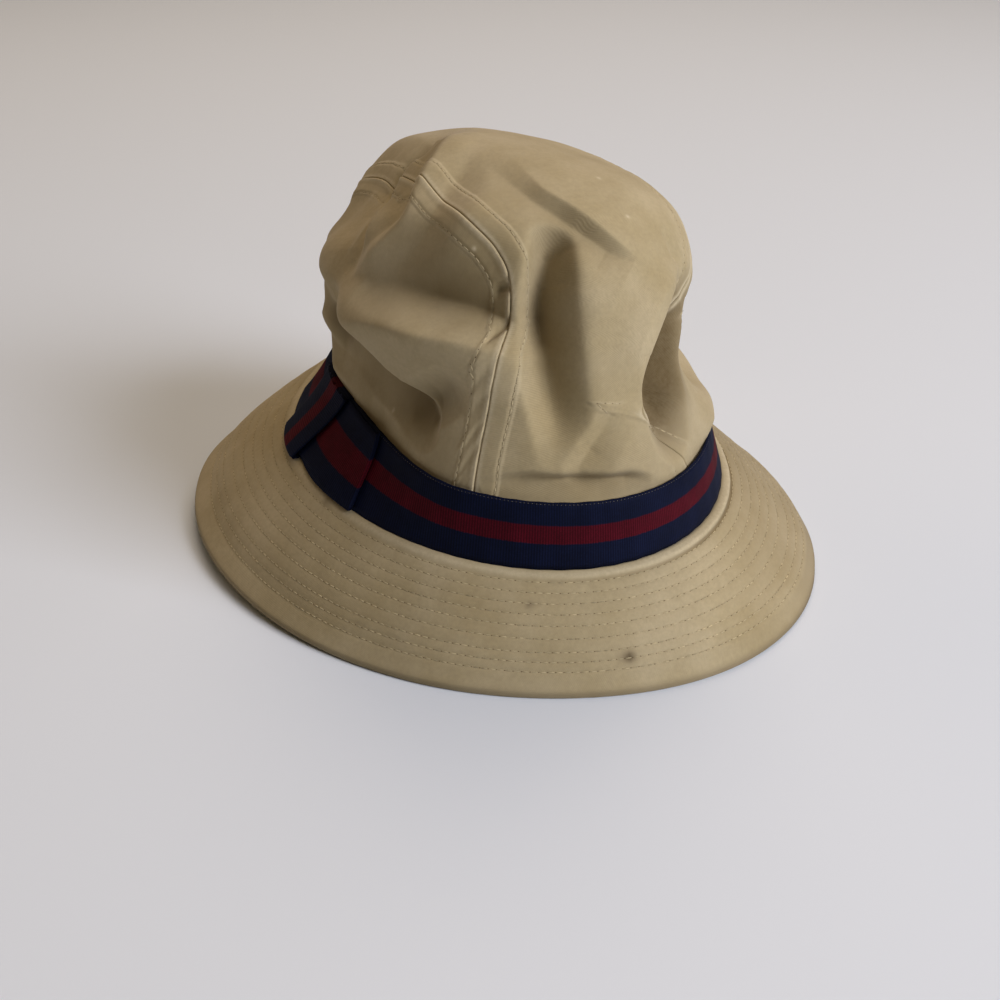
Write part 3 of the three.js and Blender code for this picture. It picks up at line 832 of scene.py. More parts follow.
@dataclass(frozen=True)
class Grosgrain(Finish):
    """Woven grosgrain ribbon: close cross ribs with a dull sheen, a maroon stripe between navy edges."""

    name: str = "grosgrain_ribbon"
    navy: str = "#0A1129"
    maroon: str = "#4A0716"
    stripe_low: float = 0.4
    stripe_high: float = 0.68
    stripe_blur: float = 0.008
    ragged: float = 0.03
    thread: float = 0.55
    dust: float = 9.0
    dust_range: Range = (0.7, 1.3)
    dust_shade: Range = (0.75, 1.3)
    rib_shade: Range = (0.55, 1.25)

    def material(self) -> bpy.types.Material:
        """Return the material, which reads each corner's share of the ribbon's width."""
        material, tree, shader = self.start(Roughness=0.75, Specular_IOR_Level=0.09)
        place = add_node(tree, "ShaderNodeTexCoord")
        width = add_node(tree, "ShaderNodeAttribute", attribute_name="ribbon_share")
        grain = noise_node(tree, place, self.thread, detail=2.0)
        ragged = math_node(tree, "MULTIPLY_ADD", grain, self.ragged, width.outputs["Fac"])
        middle = 0.5 * (self.stripe_low + self.stripe_high + self.ragged)
        away = math_node(tree, "ABSOLUTE", math_node(tree, "SUBTRACT", ragged, middle))
        half = 0.5 * (self.stripe_high - self.stripe_low)
        inside = remap_node(tree, away, (half + self.stripe_blur, half - self.stripe_blur))
        colour = mix_node(tree, inside, linear(self.navy), linear(self.maroon))
        dust = noise_node(tree, place, self.dust, detail=3.0)
        both = remap_node(tree, math_node(tree, "ADD", grain, dust), self.dust_range, self.dust_shade)
        # Painted light and shade of the cross ribs: a lighter and a darker line for each rib
        rib = rib_node(tree, place, "COSINE", RIB_PITCH, math.pi / 2)
        ribbed = remap_node(tree, rib, WAVE_RANGE, self.rib_shade)
        self.tint(tree, shader, colour, math_node(tree, "MULTIPLY", both, ribbed))
        self.emboss(tree, shader, grain, strength=0.3, depth=0.08)
        return material


@dataclass(frozen=True)
class SewingThread(Finish):
    """Spun sewing thread: a shade lighter than the cloth, slightly glossy where it lies on the surface."""

    name: str = "spun_sewing_thread"
    colour: str = "#C6B68E"
    soiling: float = 6.0
    shade: Range = (0.6, 1.15)

    def material(self) -> bpy.types.Material:
        """Return the material."""
        material, tree, shader = self.start(Roughness=0.7)
        place = add_node(tree, "ShaderNodeTexCoord")
        grain = noise_node(tree, place, self.soiling, detail=3.0)
        self.tint(tree, shader, linear(self.colour)[:3], remap_node(tree, grain, NOISE_RANGE, self.shade))
        return material


@dataclass(frozen=True)
class PlainFinish(Finish):
    """An even, matt surface, such as paint or a shadowed hole."""

    colour: str
    roughness: float

    def material(self) -> bpy.types.Material:
        """Return the material."""
        material, _, shader = self.start(Roughness=self.roughness)
        shader.inputs["Base Color"].default_value = linear(self.colour)
        return material


# Stitching


@dataclass(frozen=True)
class SewnLine:
    """A line of stitches on the cloth: points in millimetres and the directions that they face."""

    points: Array
    facing: Array

    def at(self, places: Array) -> tuple[Array, Array]:
        """Return the points and the directions at distances along the line."""
        along = lengths_along(self.points)
        point, facing = (np.stack([np.interp(places, along, axis) for axis in values.T], -1)
                         for values in (self.points, self.facing))
        return point, unit(facing)


@dataclass
class Stitching:
    """Lockstitches along sewn lines, with dark discs of painted shadow in the needle holes between them."""

    name: str
    pitch: float = 2.9
    length: float = 2.15
    width: float = 0.4
    height: float = 0.34
    # Radius of the disc of painted shadow in each needle hole
    hole: float = 0.2
    unevenness: float = 0.12
    uneven_pitch: float = 17.0
    stitch_rise: float = 0.02
    hole_rise: float = 0.06
    lines: list[SewnLine] = field(default_factory=list)

    def stations(self, line: SewnLine) -> tuple[Array, Array, Array]:
        """Return the middles of a line's stitches, the ways they run and the directions they face."""
        end = lengths_along(line.points)[-1]
        places = np.arange(0.5 * self.pitch, end - 0.5 * self.pitch, self.pitch)
        places = places + self.unevenness * irregular_wave(places, self.uneven_pitch)
        middle, facing = line.at(places)
        return middle, unit(line.at(places + 0.5)[0] - line.at(places - 0.5)[0]), facing

    def pattern(self, is_hole: bool) -> tuple[Array, list[tuple[int, ...]]]:
        """Model one stitch, or one dark disc of painted shadow for a needle hole, and return its corners and
        faces.
        """
        clear_selection()
        if is_hole:
            bpy.ops.mesh.primitive_circle_add(
                vertices=6, radius=self.hole, fill_type="NGON", location=(0, 0, 0))
        else:
            bpy.ops.mesh.primitive_uv_sphere_add(segments=6, ring_count=4, radius=0.5, location=(0, 0, 0))
            edit_mesh(bpy.ops.transform.rotate, value=math.pi / 2, orient_axis="Y", center_override=(0, 0, 0))
            edit_mesh(bpy.ops.transform.resize, value=(self.length, self.width, self.height))
        sample = bpy.context.object
        mesh = sample.data
        corners = raw_corners(sample)
        faces = [tuple(p.vertices) for p in mesh.polygons]
        bpy.data.objects.remove(sample)
        bpy.data.meshes.remove(mesh)
        return corners, faces

    def build(self, thread: bpy.types.Material, hole: bpy.types.Material, slot: Slot) -> bpy.types.Object:
        """Join copies of the stitch and of the dark disc of painted shadow in each needle hole along all the
        lines.

        Args:
            thread: Material of the stitches.
            hole: Material of the painted shadow in the needle holes.
            slot: The record's material slot; not used.

        Returns:
            One object with all the stitches.
        """
        corners, faces, kinds = [], [], []
        count = 0
        for is_hole, rise in ((False, self.stitch_rise), (True, self.hole_rise)):
            shape, cells = self.pattern(is_hole)
            for line in self.lines:
                middle, run, up = self.stations(line)
                if is_hole:
                    middle = middle + run * 0.5 * self.pitch
                aside = unit(np.cross(up, run))
                axes = np.stack([run, aside, np.cross(run, aside)], 1)
                copies = np.einsum("vk,nkc->nvc", shape, axes) + (middle + up * rise)[:, None, :]
                corners.append(copies.reshape(-1, 3))
                for _ in middle:
                    faces.extend(tuple(count + v for v in cell) for cell in cells)
                    kinds.extend([int(is_hole)] * len(cells))
                    count += len(shape)
        mesh = bpy.data.meshes.new(self.name)
        mesh.from_pydata(to_frame(np.concatenate(corners)).tolist(), [], faces)
        mesh.materials.append(thread)
        mesh.materials.append(hole)
        mesh.polygons.foreach_set("material_index", kinds)
        mesh.polygons.foreach_set("use_smooth", [True] * len(faces))
        piece = bpy.data.objects.new(self.name, mesh)
        bpy.context.scene.collection.objects.link(piece)
        settle(piece, ())
        return piece


# The crown


class Panel(Enum):
    """The three cloth panels of the crown."""

    CENTRE = "crown_centre_panel"
    LEFT = "crown_left_panel"
    RIGHT = "crown_right_panel"


@dataclass(frozen=True)
class Dip:
    """A crumple in the seam's pressed strip: distance along the seam from the front, depth and size."""

    at: float
    depth: float
    size: float


STRIP_DIPS = (
    Dip(at=43.0, depth=0.35, size=3.0),
    Dip(at=51.0, depth=0.3, size=2.5),
    Dip(at=61.5, depth=0.4, size=3.0),
    Dip(at=72.0, depth=0.35, size=3.5),
    Dip(at=87.0, depth=2.0, size=2.4),
    Dip(at=100.5, depth=2.2, size=2.2),
)
# Cloth places of the specks of lint on the crown
LINT = ((-0.24, -0.286), (0.112, -0.209), (0.124, -0.317), (-0.75, -0.266))


@dataclass(frozen=True)
class SeamFinish:
    """A pressed-open seam, topstitched on both sides: its relief and its wear across the seam."""

    raised: float = 0.55
    lap: float = 0.0
    step_at: float = 8.0
    stitch_at: float = 7.3
    stitch_depth: float = 0.32
    stitch_width: float = 0.75
    groove: float = 0.5
    groove_width: float = 0.3
    pucker: float = 0.16
    pucker_pitch: float = 6.5
    pucker_width: float = 3.2
    line_wear: float = 0.75
    step_wear: float = 0.3
    dips: tuple[Dip, ...] = ()
    hidden: tuple[Range, ...] = ((0.07, 0.135), (0.168, 0.33))
    fade: float = 0.012

    def shown(self, share: Array, is_right: bool) -> Array:
        """Return how far the seam shows at shares of its stations, as the right one runs inside a fold."""
        shown = np.ones_like(share)
        for start, end in self.hidden if is_right else ():
            inside = smooth_step(share, start - self.fade, start + self.fade)
            shown = shown - inside * (1.0 - smooth_step(share, end - self.fade, end + self.fade))
        return np.clip(shown, 0.0, 1.0)

    def relief(self, distance: Array, along: Array, shown: Array) -> Array:
        """Return how far the cloth stands up beside the seam.

        Args:
            distance: Distance from the seam, in millimetres.
            along: Distance along the seam.
            shown: How far the seam's allowances show; its fine line always does.

        Returns:
            Heights in millimetres.
        """
        body = self.raised * (1.0 - smooth_step(distance, self.step_at - 0.5, self.step_at + 0.9))
        lap = self.lap * (1.0 - smooth_step(distance, 0.3, 3.5))
        line = self.groove * bump(distance, 0.0, self.groove_width)
        stitch = self.stitch_depth * bump(distance, self.stitch_at, self.stitch_width)
        waves = self.pucker * irregular_wave(along, self.pucker_pitch)
        waves = waves * bump(distance, self.stitch_at, self.pucker_width)
        strip = 1.0 - smooth_step(distance, self.stitch_at - 2.5, self.stitch_at + 0.5)
        crumple = sum(dip.depth * bump(along, dip.at, dip.size) for dip in self.dips)
        return (body + lap - stitch + waves - strip * crumple) * shown - line

    def wear(self, distance: Array) -> Array:
        """Return how far the cloth is rubbed light beside the seam's line and on its step."""
        return self.line_wear * bump(distance, 1.0, 0.9) + self.step_wear * bump(distance, self.step_at, 1.0)


@dataclass
class CrownPanel:
    """One panel of the crown: a grid laid on the folded form, with sewn edges and the cloth's thickness."""

    panel: Panel
    columns: int
    typical_width: float
    seam: SeamFinish = SeamFinish()
    rows: int = 440
    front_share: float = 0.66
    edge_columns: int = 40
    edge_width: float = 10.5
    start_column: int = 4
    least_square: float = 0.35
    end_rows: int = 3
    stitch_room: float = 2.0
    cloth: float = 1.2
    merged: float = 0.02
    pull_from: float = 0.6
    uneven: Rumple = Rumple(0.3, 15.0, 3.0)
    rumple: Rumple = Rumple(0.9, 38.0, 7.0)
    patch: Rumple = Rumple(1.0, 30.0, 11.0)
    foot_darkening: float = 0.1
    patch_grime: float = 0.12
    most_grime_and_shade: float = 0.8
    lint_size: float = 0.8
    lines: list[SewnLine] = field(default_factory=list)

    def seam_places(self, share: Array) -> tuple[Array, Array]:
        """Return the cloth places of the left and the right seam at shares from the front to the back."""
        table = np.array([station.left + station.right for station in SEAM_STATIONS])
        places = smooth_rows(table, share * (len(SEAM_STATIONS) - 1))
        return places[..., :2], places[..., 2:]

    def side_shares(self) -> Array:
        """Return shares across the panel, close together beside the seams and wider elsewhere."""
        edge = self.edge_width / self.typical_width
        near = np.linspace(0.0, edge, self.edge_columns + 1)
        if self.panel is Panel.CENTRE:
            middle = np.linspace(edge, 1.0 - edge, self.columns - 2 * self.edge_columns + 1)[1:-1]
            return np.concatenate([near, middle, 1.0 - near[::-1]])
        shares = np.concatenate([near, np.linspace(edge, 1.0, self.columns - self.edge_columns + 1)[1:]])
        return shares[::-1] if self.panel is Panel.LEFT else shares

    def row_shares(self) -> Array:
        """Return the share of the seam's stations at each row of corners, closer together in front."""
        return np.interp(np.arange(self.rows + 1) / self.rows, (0.0, self.front_share, 1.0), (0.0, 0.5, 1.0))

    def place(self, share: Array, side: Array) -> Array:
        """Return the cloth places of the panel.

        Args:
            share: Shares along the panel from the front to the back.
            side: Shares across it, from the left seam to the right one, or from the seam to the brim.

        Returns:
            Cloth places, with across and along on the last axis.
        """
        left, right = self.seam_places(share)
        if self.panel is Panel.CENTRE:
            place = left + (right - left) * side[..., None]
            ends = np.linalg.norm(left, axis=-1), np.linalg.norm(right, axis=-1)
            wanted = ends[0] + (ends[1] - ends[0]) * side
            pull = smooth_step(wanted, self.pull_from, 1.0)
            radius = np.maximum(np.linalg.norm(place, axis=-1), TINY)
            return place * (1.0 + pull * (wanted / radius - 1.0))[..., None]
        is_left = self.panel is Panel.LEFT
        middle = math.pi if is_left else 0.0
        ends = self.seam_places(np.array([0.0, 1.0]))[0 if is_left else 1]
        turns = short_turn(np.arctan2(ends[:, 1], ends[:, 0]) - middle)
        foot = heading(middle + turns[0] + (turns[1] - turns[0]) * share)
        seam = left if is_left else right
        return seam + (foot - seam) * side[..., None]

    def seam_distance(self, grid: Array) -> Array:
        """Return the distances of rows of points from the seam that they start at, square to it."""
        run = unit(np.gradient(grid[:, 0], axis=0))
        start = unit(grid[:, self.start_column] - grid[:, 0])
        square = np.linalg.norm(np.cross(start, run), axis=1)
        return lengths_along(grid) * np.clip(square, self.least_square, 1.0)[:, None]

    def build(self, cloth: bpy.types.Material) -> bpy.types.Object:
        """Lay the grid, press the seams, add the small unevenness of the cloth and give it thickness.

        Args:
            cloth: The material.

        Returns:
            The finished panel.
        """
        share, side = np.meshgrid(self.row_shares(), self.side_shares(), indexing="ij")
        points, fold_shade = FORM.folded(self.place(share, side))
        piece = grid_sheet(self.panel.value.replace("_panel", "_cloth"), points)
        grid, facing = points_of(piece).reshape(points.shape), facing_of(piece).reshape(points.shape)
        grid = grid + facing * (self.uneven.at(grid) + self.rumple.at(grid))[..., None]
        wear, across, height = (np.zeros(share.shape) for _ in range(3))
        # Each seam is worked away from itself: forwards from the first column, backwards from the last
        ways = {Panel.CENTRE: (1, -1), Panel.LEFT: (-1,), Panel.RIGHT: (1,)}[self.panel]
        for way in ways:
            view, outward = grid[:, ::way], facing[:, ::way]
            distance = self.seam_distance(view)
            is_right = self.panel is Panel.RIGHT or (self.panel is Panel.CENTRE and way < 0)
            shown = self.seam.shown(self.row_shares(), is_right)[:, None]
            rise = self.seam.relief(distance, lengths_along(view[:, 0])[:, None], shown)
            height += rise[:, ::way]
            wear += (self.seam.wear(distance) * shown)[:, ::way]
            across = np.where(across > 0, across, distance[:, ::way])
            self.keep_line(view + outward * rise[..., None], outward, distance, shown)
        move_points(piece, (grid + facing * height[..., None]).reshape(-1, 3))
        self.dress(piece, grid, wear, across, fold_shade)
        piece.data.materials.append(cloth)
        edit_mesh(bpy.ops.mesh.remove_doubles, threshold=self.merged * MM)
        thicken(piece, self.cloth, is_rim_only=True)
        settle(piece, (self.panel.value,))
        return piece

    def keep_line(self, grid: Array, facing: Array, distance: Array, shown: Array) -> None:
        """Keep the line of the topstitching where the seam shows.

        Args:
            grid: Points of the sewn cloth, row by row away from the seam.
            facing: The directions that they face.
            distance: Their distances from the seam.
            shown: How far the seam shows at each row.
        """
        runs: list[list[tuple[Array, Array]]] = [[]]
        for row in range(self.end_rows, self.rows + 1 - self.end_rows):
            if shown[row] < 0.5:
                runs.append([])
            elif distance[row, -1] >= self.seam.stitch_at + self.stitch_room:
                place = np.interp(self.seam.stitch_at, distance[row], np.arange(distance.shape[1]))
                low = min(int(place), distance.shape[1] - 2)
                share = place - low
                runs[-1].append((grid[row, low] * (1 - share) + grid[row, low + 1] * share, facing[row, low]))
        self.lines.extend(SewnLine(*map(np.array, zip(*run))) for run in runs if run)

    def dress(self, piece: bpy.types.Object, grid: Array, wear: Array, across: Array, fold_shade: Array) -> None:
        """Store the wear, the dirt with painted shade, and the stains, and lay out the weave.

        Args:
            piece: The panel.
            grid: Its points before the seams were pressed, row by row.
            wear: Shares of wear along the seams.
            across: Distances from the seam.
            fold_shade: Shares of painted shade in the folds.
        """
        points = grid.reshape(-1, 3)
        patch = self.patch.at(points)
        # Darker towards the crown's foot
        low = smooth_step(-points[:, 2], -95.0, -62.0)
        rubbed = wear.ravel() * (0.75 + 0.5 * patch)
        for speck in FORM.folded(np.array(LINT))[0]:
            rubbed = np.maximum(rubbed, bump(np.linalg.norm(points - speck, axis=1), 0.0, self.lint_size))
        # Patches of dirt, with the painted shade of the folds on top
        grime_and_shade = self.foot_darkening * low + self.patch_grime * patch + fold_shade.ravel()
        set_point_values(piece, "wear", rubbed)
        set_point_values(piece, "grime_and_shade", np.clip(grime_and_shade, 0.0, self.most_grime_and_shade))
        set_point_values(piece, "stain", np.zeros(len(points)))
        length = lengths_along(grid[:, grid.shape[1] // 2])
        set_uv(piece, across.ravel(), np.repeat(length, grid.shape[1]))


# The brim


@dataclass(frozen=True)
class Stain:
    """A spot on the brim: angle round the hat in degrees, distance down the slope, size and strength."""

    angle: float
    down: float
    size: float
    strength: float


STAINS = (
    Stain(-115.0, 14.4, 1.5, 0.75),
    Stain(-97.2, 37.0, 2.5, 0.9),
    Stain(-72.0, 4.7, 0.7, 1.0),
    Stain(-167.0, 3.0, 2.0, 0.5),
)


@dataclass
class Brim:
    """The stitched brim: quilted rows, a turned margin and a soft underside."""

    columns: int = 720
    cloth: float = 2.2
    rest_width: float = 2.4
    under_rows: int = 14
    under_tuck: float = 2.176
    mean_radius: float = 118.0
    girth: float = 740.0
    # Rows of corners round the rim: distance back from the edge and height over the surface
    rim: tuple[Range, ...] = ((0.5, 0.0), (0.0, 0.75), (0.25, 1.7))
    rim_depths: tuple[float, ...] = (53.0, 52.0, 51.0)
    under_depth: float = 50.0
    stitch_rows: tuple[float, ...] = (5.0, 9.4, 13.8, 18.2, 22.8, 28.0, 33.4, 37.4, 41.4)
    close_steps: tuple[float, ...] = (-1.6, -1.0, -0.55, -0.2, 0.2, 0.55, 1.0, 1.6)
    seam_steps: tuple[float, ...] = (0.0, 0.8, 1.6, 2.3, 3.0)
    margin_steps: tuple[float, ...] = (43.6, 44.4, 45.4, 46.4, 47.4, 48.4, 49.2, 49.8)
    groove: float = 0.22
    groove_width: float = 0.9
    groove_ease: float = 0.55
    groove_ease_arc: Arc = Arc(-175.0, 75.0)
    pucker: float = 0.12
    pucker_pitch: float = 7.5
    pucker_width: float = 2.2
    pucker_shift: float = 31.0
    quilt: Rumple = Rumple(0.16, 7.0, 5.0)
    rumple: Rumple = Rumple(0.35, 42.0, 8.0)
    patch: Rumple = Rumple(1.0, 26.0, 17.0)
    margin_bend: float = 1.5
    margin_bend_arc: Arc = Arc(-15.0, 95.0)
    margin_bend_from: float = 26.0
    margin_flare: float = 1.0
    margin_flare_arc: Arc = Arc(165.0, 80.0)
    ridge: float = 0.8
    ridge_at: float = 2.3
    ridge_width: float = 1.3
    ridge_arc: Arc = Arc(-45.0, 75.0)
    crease: float = 1.0
    crease_at: float = 4.2
    crease_width: float = 0.6
    # Arcs of painted shade: over the right side, and in the crease by the band
    right_shade: Arc = Arc(-15.0, 75.0)
    crease_shade: Arc = Arc(-60.0, 75.0)
    most_grime_and_shade: float = 0.7
    lines: list[SewnLine] = field(default_factory=list)

    def distances(self) -> Array:
        """Return distances down the slope for the rows of corners, close together at each stitch row."""
        fine = [row + step for row in self.stitch_rows for step in self.close_steps]
        return np.array(sorted([*fine, *self.seam_steps, *self.margin_steps]))

    def relief(self, distance: Array, angle: Array, points: Array) -> Array:
        """Return how far the sewn cloth stands off the plain slope.

        Args:
            distance: Distances down the slope.
            angle: Angles round the hat.
            points: Points of the plain slope.

        Returns:
            Heights in millimetres.
        """
        height = np.zeros_like(distance)
        length = angle * self.mean_radius
        press = 1.0 - self.groove_ease * self.groove_ease_arc.at(angle)
        for index, row in enumerate(self.stitch_rows):
            height -= self.groove * press * bump(distance, row, self.groove_width)
            waves = irregular_wave(length + self.pucker_shift * index, self.pucker_pitch)
            height += self.pucker * press * waves * bump(distance, row, self.pucker_width)
        inside = 1.0 - smooth_step(distance, 40.5, 43.0)
        height += inside * self.quilt.at(points) + self.rumple.at(points)
        last, end = self.stitch_rows[-1] + 1.0, BRIM_FORM.slope
        rising = smooth_step(distance, self.margin_bend_from, last) ** 2
        kink = np.where(distance < last, rising, (end - distance) / (end - last))
        bend = self.margin_bend * self.margin_bend_arc.at(angle)
        flare = self.margin_flare * self.margin_flare_arc.at(angle)
        height += (bend - flare) * np.clip(kink, 0.0, 1.0)
        seam = self.ridge_arc.at(angle)
        height += self.ridge * (0.35 + 0.65 * seam) * bump(distance, self.ridge_at, self.ridge_width)
        height -= self.crease * seam * bump(distance, self.crease_at, self.crease_width)
        return height

    def upper(self, angle: Array, distance: Array) -> tuple[Array, Array]:
        """Return points of the sewn upper face and the directions that the plain slope faces there."""
        points, facing = BRIM_FORM.section(angle, np.clip(distance / BRIM_FORM.slope, 0.0, 1.0))
        return points + facing * self.relief(distance, angle, points)[..., None], facing

    def rim_row(self, ring: Array, back: float, high: float) -> Array:
        """Return points round the rim, a distance back from the edge and a height over the surface."""
        edge = BRIM_FORM.section(ring, np.ones_like(ring))[0][:, :2] - BRIM_FORM.foot(ring)[1] * back
        return np.concatenate([edge, (BRIM_FORM.lift_here(ring) + high)[:, None]], -1)

    def build(self, cloth: bpy.types.Material) -> bpy.types.Object:
        """Model the brim as a closed ring and keep its stitch lines.

        Args:
            cloth: The material.

        Returns:
            The finished brim.
        """
        top = self.distances()[::-1]
        under = np.linspace(0.0, 1.0, self.under_rows)
        ring = np.arange(self.columns) / self.columns * TURN
        upper, _ = self.upper(*np.meshgrid(ring, top, indexing="xy"))
        plain, slant = BRIM_FORM.section(*np.meshgrid(ring, under, indexing="xy"))
        lower = plain - slant * self.cloth
        lower[0, :, :2] -= BRIM_FORM.foot(ring)[1] * self.under_tuck
        lower[-1] = self.rim_row(ring, self.rest_width, 0.0)
        rim = np.array([self.rim_row(ring, back, high) for back, high in self.rim])
        piece, column, row = ring_body("stitched_brim", np.concatenate([rim, upper, lower]))
        depth = np.concatenate([self.rim_depths, top, under * self.under_depth])[row]
        set_uv(piece, depth, column / self.columns * self.girth, self.girth)
        self.dress(piece, depth, column / self.columns * TURN)
        piece.data.materials.append(cloth)
        bpy.ops.object.shade_smooth()
        settle(piece, ("brim",))
        line = np.linspace(0.0, TURN, LINE_POINTS)
        self.lines.extend(SewnLine(*self.upper(line, np.full_like(line, down))) for down in self.stitch_rows)
        return piece

    def dress(self, piece: bpy.types.Object, depth: Array, angle: Array) -> None:
        """Store the wear, the painted shade with a little dirt, and the stains of the brim.

        Args:
            piece: The brim.
            depth: Distances down the slope.
            angle: Angles round the hat.
        """
        patch = self.patch.at(points_of(piece))
        # Darker towards the edge; painted shade over the right side, more on its turned margin, and in the
        # crease by the band; a little dirt in patches
        rim, margin = smooth_step(depth, 47.5, 51.5), smooth_step(depth, 42.0, 44.0)
        crease = bump(depth, self.crease_at, 0.7) * self.crease_shade.at(angle)
        grime_and_shade = 0.42 * rim + 0.1 * patch + (0.38 + 0.2 * margin) * self.right_shade.at(angle) + 0.5 * crease
        stain = np.zeros(len(depth))
        for spot in STAINS:
            aside = short_turn(angle - math.radians(spot.angle)) * self.mean_radius
            far = np.hypot(depth - spot.down, aside)
            stain = np.maximum(stain, spot.strength * bump(far, 0.0, spot.size))
        set_point_values(piece, "wear", np.clip(0.6 * bump(depth, 2.0, 1.6) + 0.12 * patch, 0.0, 1.0))
        set_point_values(piece, "grime_and_shade", np.clip(grime_and_shade, 0.0, self.most_grime_and_shade))
        set_point_values(piece, "stain", stain)


# The ribbon


@dataclass
class RibbonBand:
    """The ribbon round the crown's foot. Its ring is thinned, so each cross rib shows only as light and shade
    painted into the finish.
    """

    ribs: int = 572
    outer_rows: int = 13
    inner_rows: int = 5
    inner_margin: float = 0.01
    height: float = 25.2
    thickness: float = 1.0
    seat: float = 0.72
    rib_depth: float = 0.16
    picot: float = 0.22
    picot_share: float = 0.03
    raised: float = 0.9
    raised_arc: Arc = Arc(-42.0, 62.0)
    wander: float = 0.25
    wander_radius: float = 95.0
    wander_pitch: float = 60.0
    stitch_share: float = 0.98
    lines: list[SewnLine] = field(default_factory=list)

    def share_at(self, angle: Array, share: Array) -> Array:
        """Return shares of the seat's height, with the lower edge drawn up where the seam shows under it."""
        low = self.raised / self.height * self.raised_arc.at(angle)
        return low + (1.0 - low) * share

    def build(self, ribbon: bpy.types.Material) -> bpy.types.Object:
        """Model the ribbon as a closed ring and keep the stitch line of its upper edge.

        Args:
            ribbon: The material.

        Returns:
            The finished band.
        """
        inner = np.linspace(1.0 - self.inner_margin, self.inner_margin, self.inner_rows)
        share = np.concatenate([np.linspace(0.0, 1.0, self.outer_rows), inner])
        is_outer = (np.arange(len(share)) < self.outer_rows)[:, None]
        columns = self.ribs * CELLS_PER_RIB
        angle, here = np.meshgrid(np.arange(columns) / columns * TURN, share)
        rib = 0.5 + 0.5 * np.cos(angle * self.ribs)
        out = np.where(is_outer, self.seat + self.thickness - self.rib_depth * (1.0 - rib), self.seat)
        edge = bump(here, 1.0, self.picot_share) + bump(here, 0.0, self.picot_share)
        edge = np.where(here > 0.5, 1.0, -1.0) * edge
        wave = self.wander * irregular_wave(angle * self.wander_radius, self.wander_pitch)
        points = ribbon_point(angle, self.share_at(angle, here), out)
        points[..., 2] += self.picot * rib * edge + wave * (here - 0.5)
        piece, column, row = ring_body("ribbon_band", points)
        set_point_values(piece, "ribbon_share", share[row])
        length = self.ribs * RIB_PITCH
        set_uv(piece, share[row] * RIBBON_WIDTH, column / columns * length, length)
        piece.data.materials.append(ribbon)
        bpy.ops.object.shade_smooth()
        settle(piece, ("hat_band",))
        ring = np.linspace(0.0, TURN, LINE_POINTS)
        high = np.full_like(ring, self.stitch_share)
        line = ribbon_point(ring, self.share_at(ring, high), np.full_like(ring, self.seat + self.thickness))
        facing = ribbon_point(ring, high, np.ones_like(ring)) - ribbon_point(ring, high, np.zeros_like(ring))
        self.lines.append(SewnLine(line, unit(facing)))
        return piece


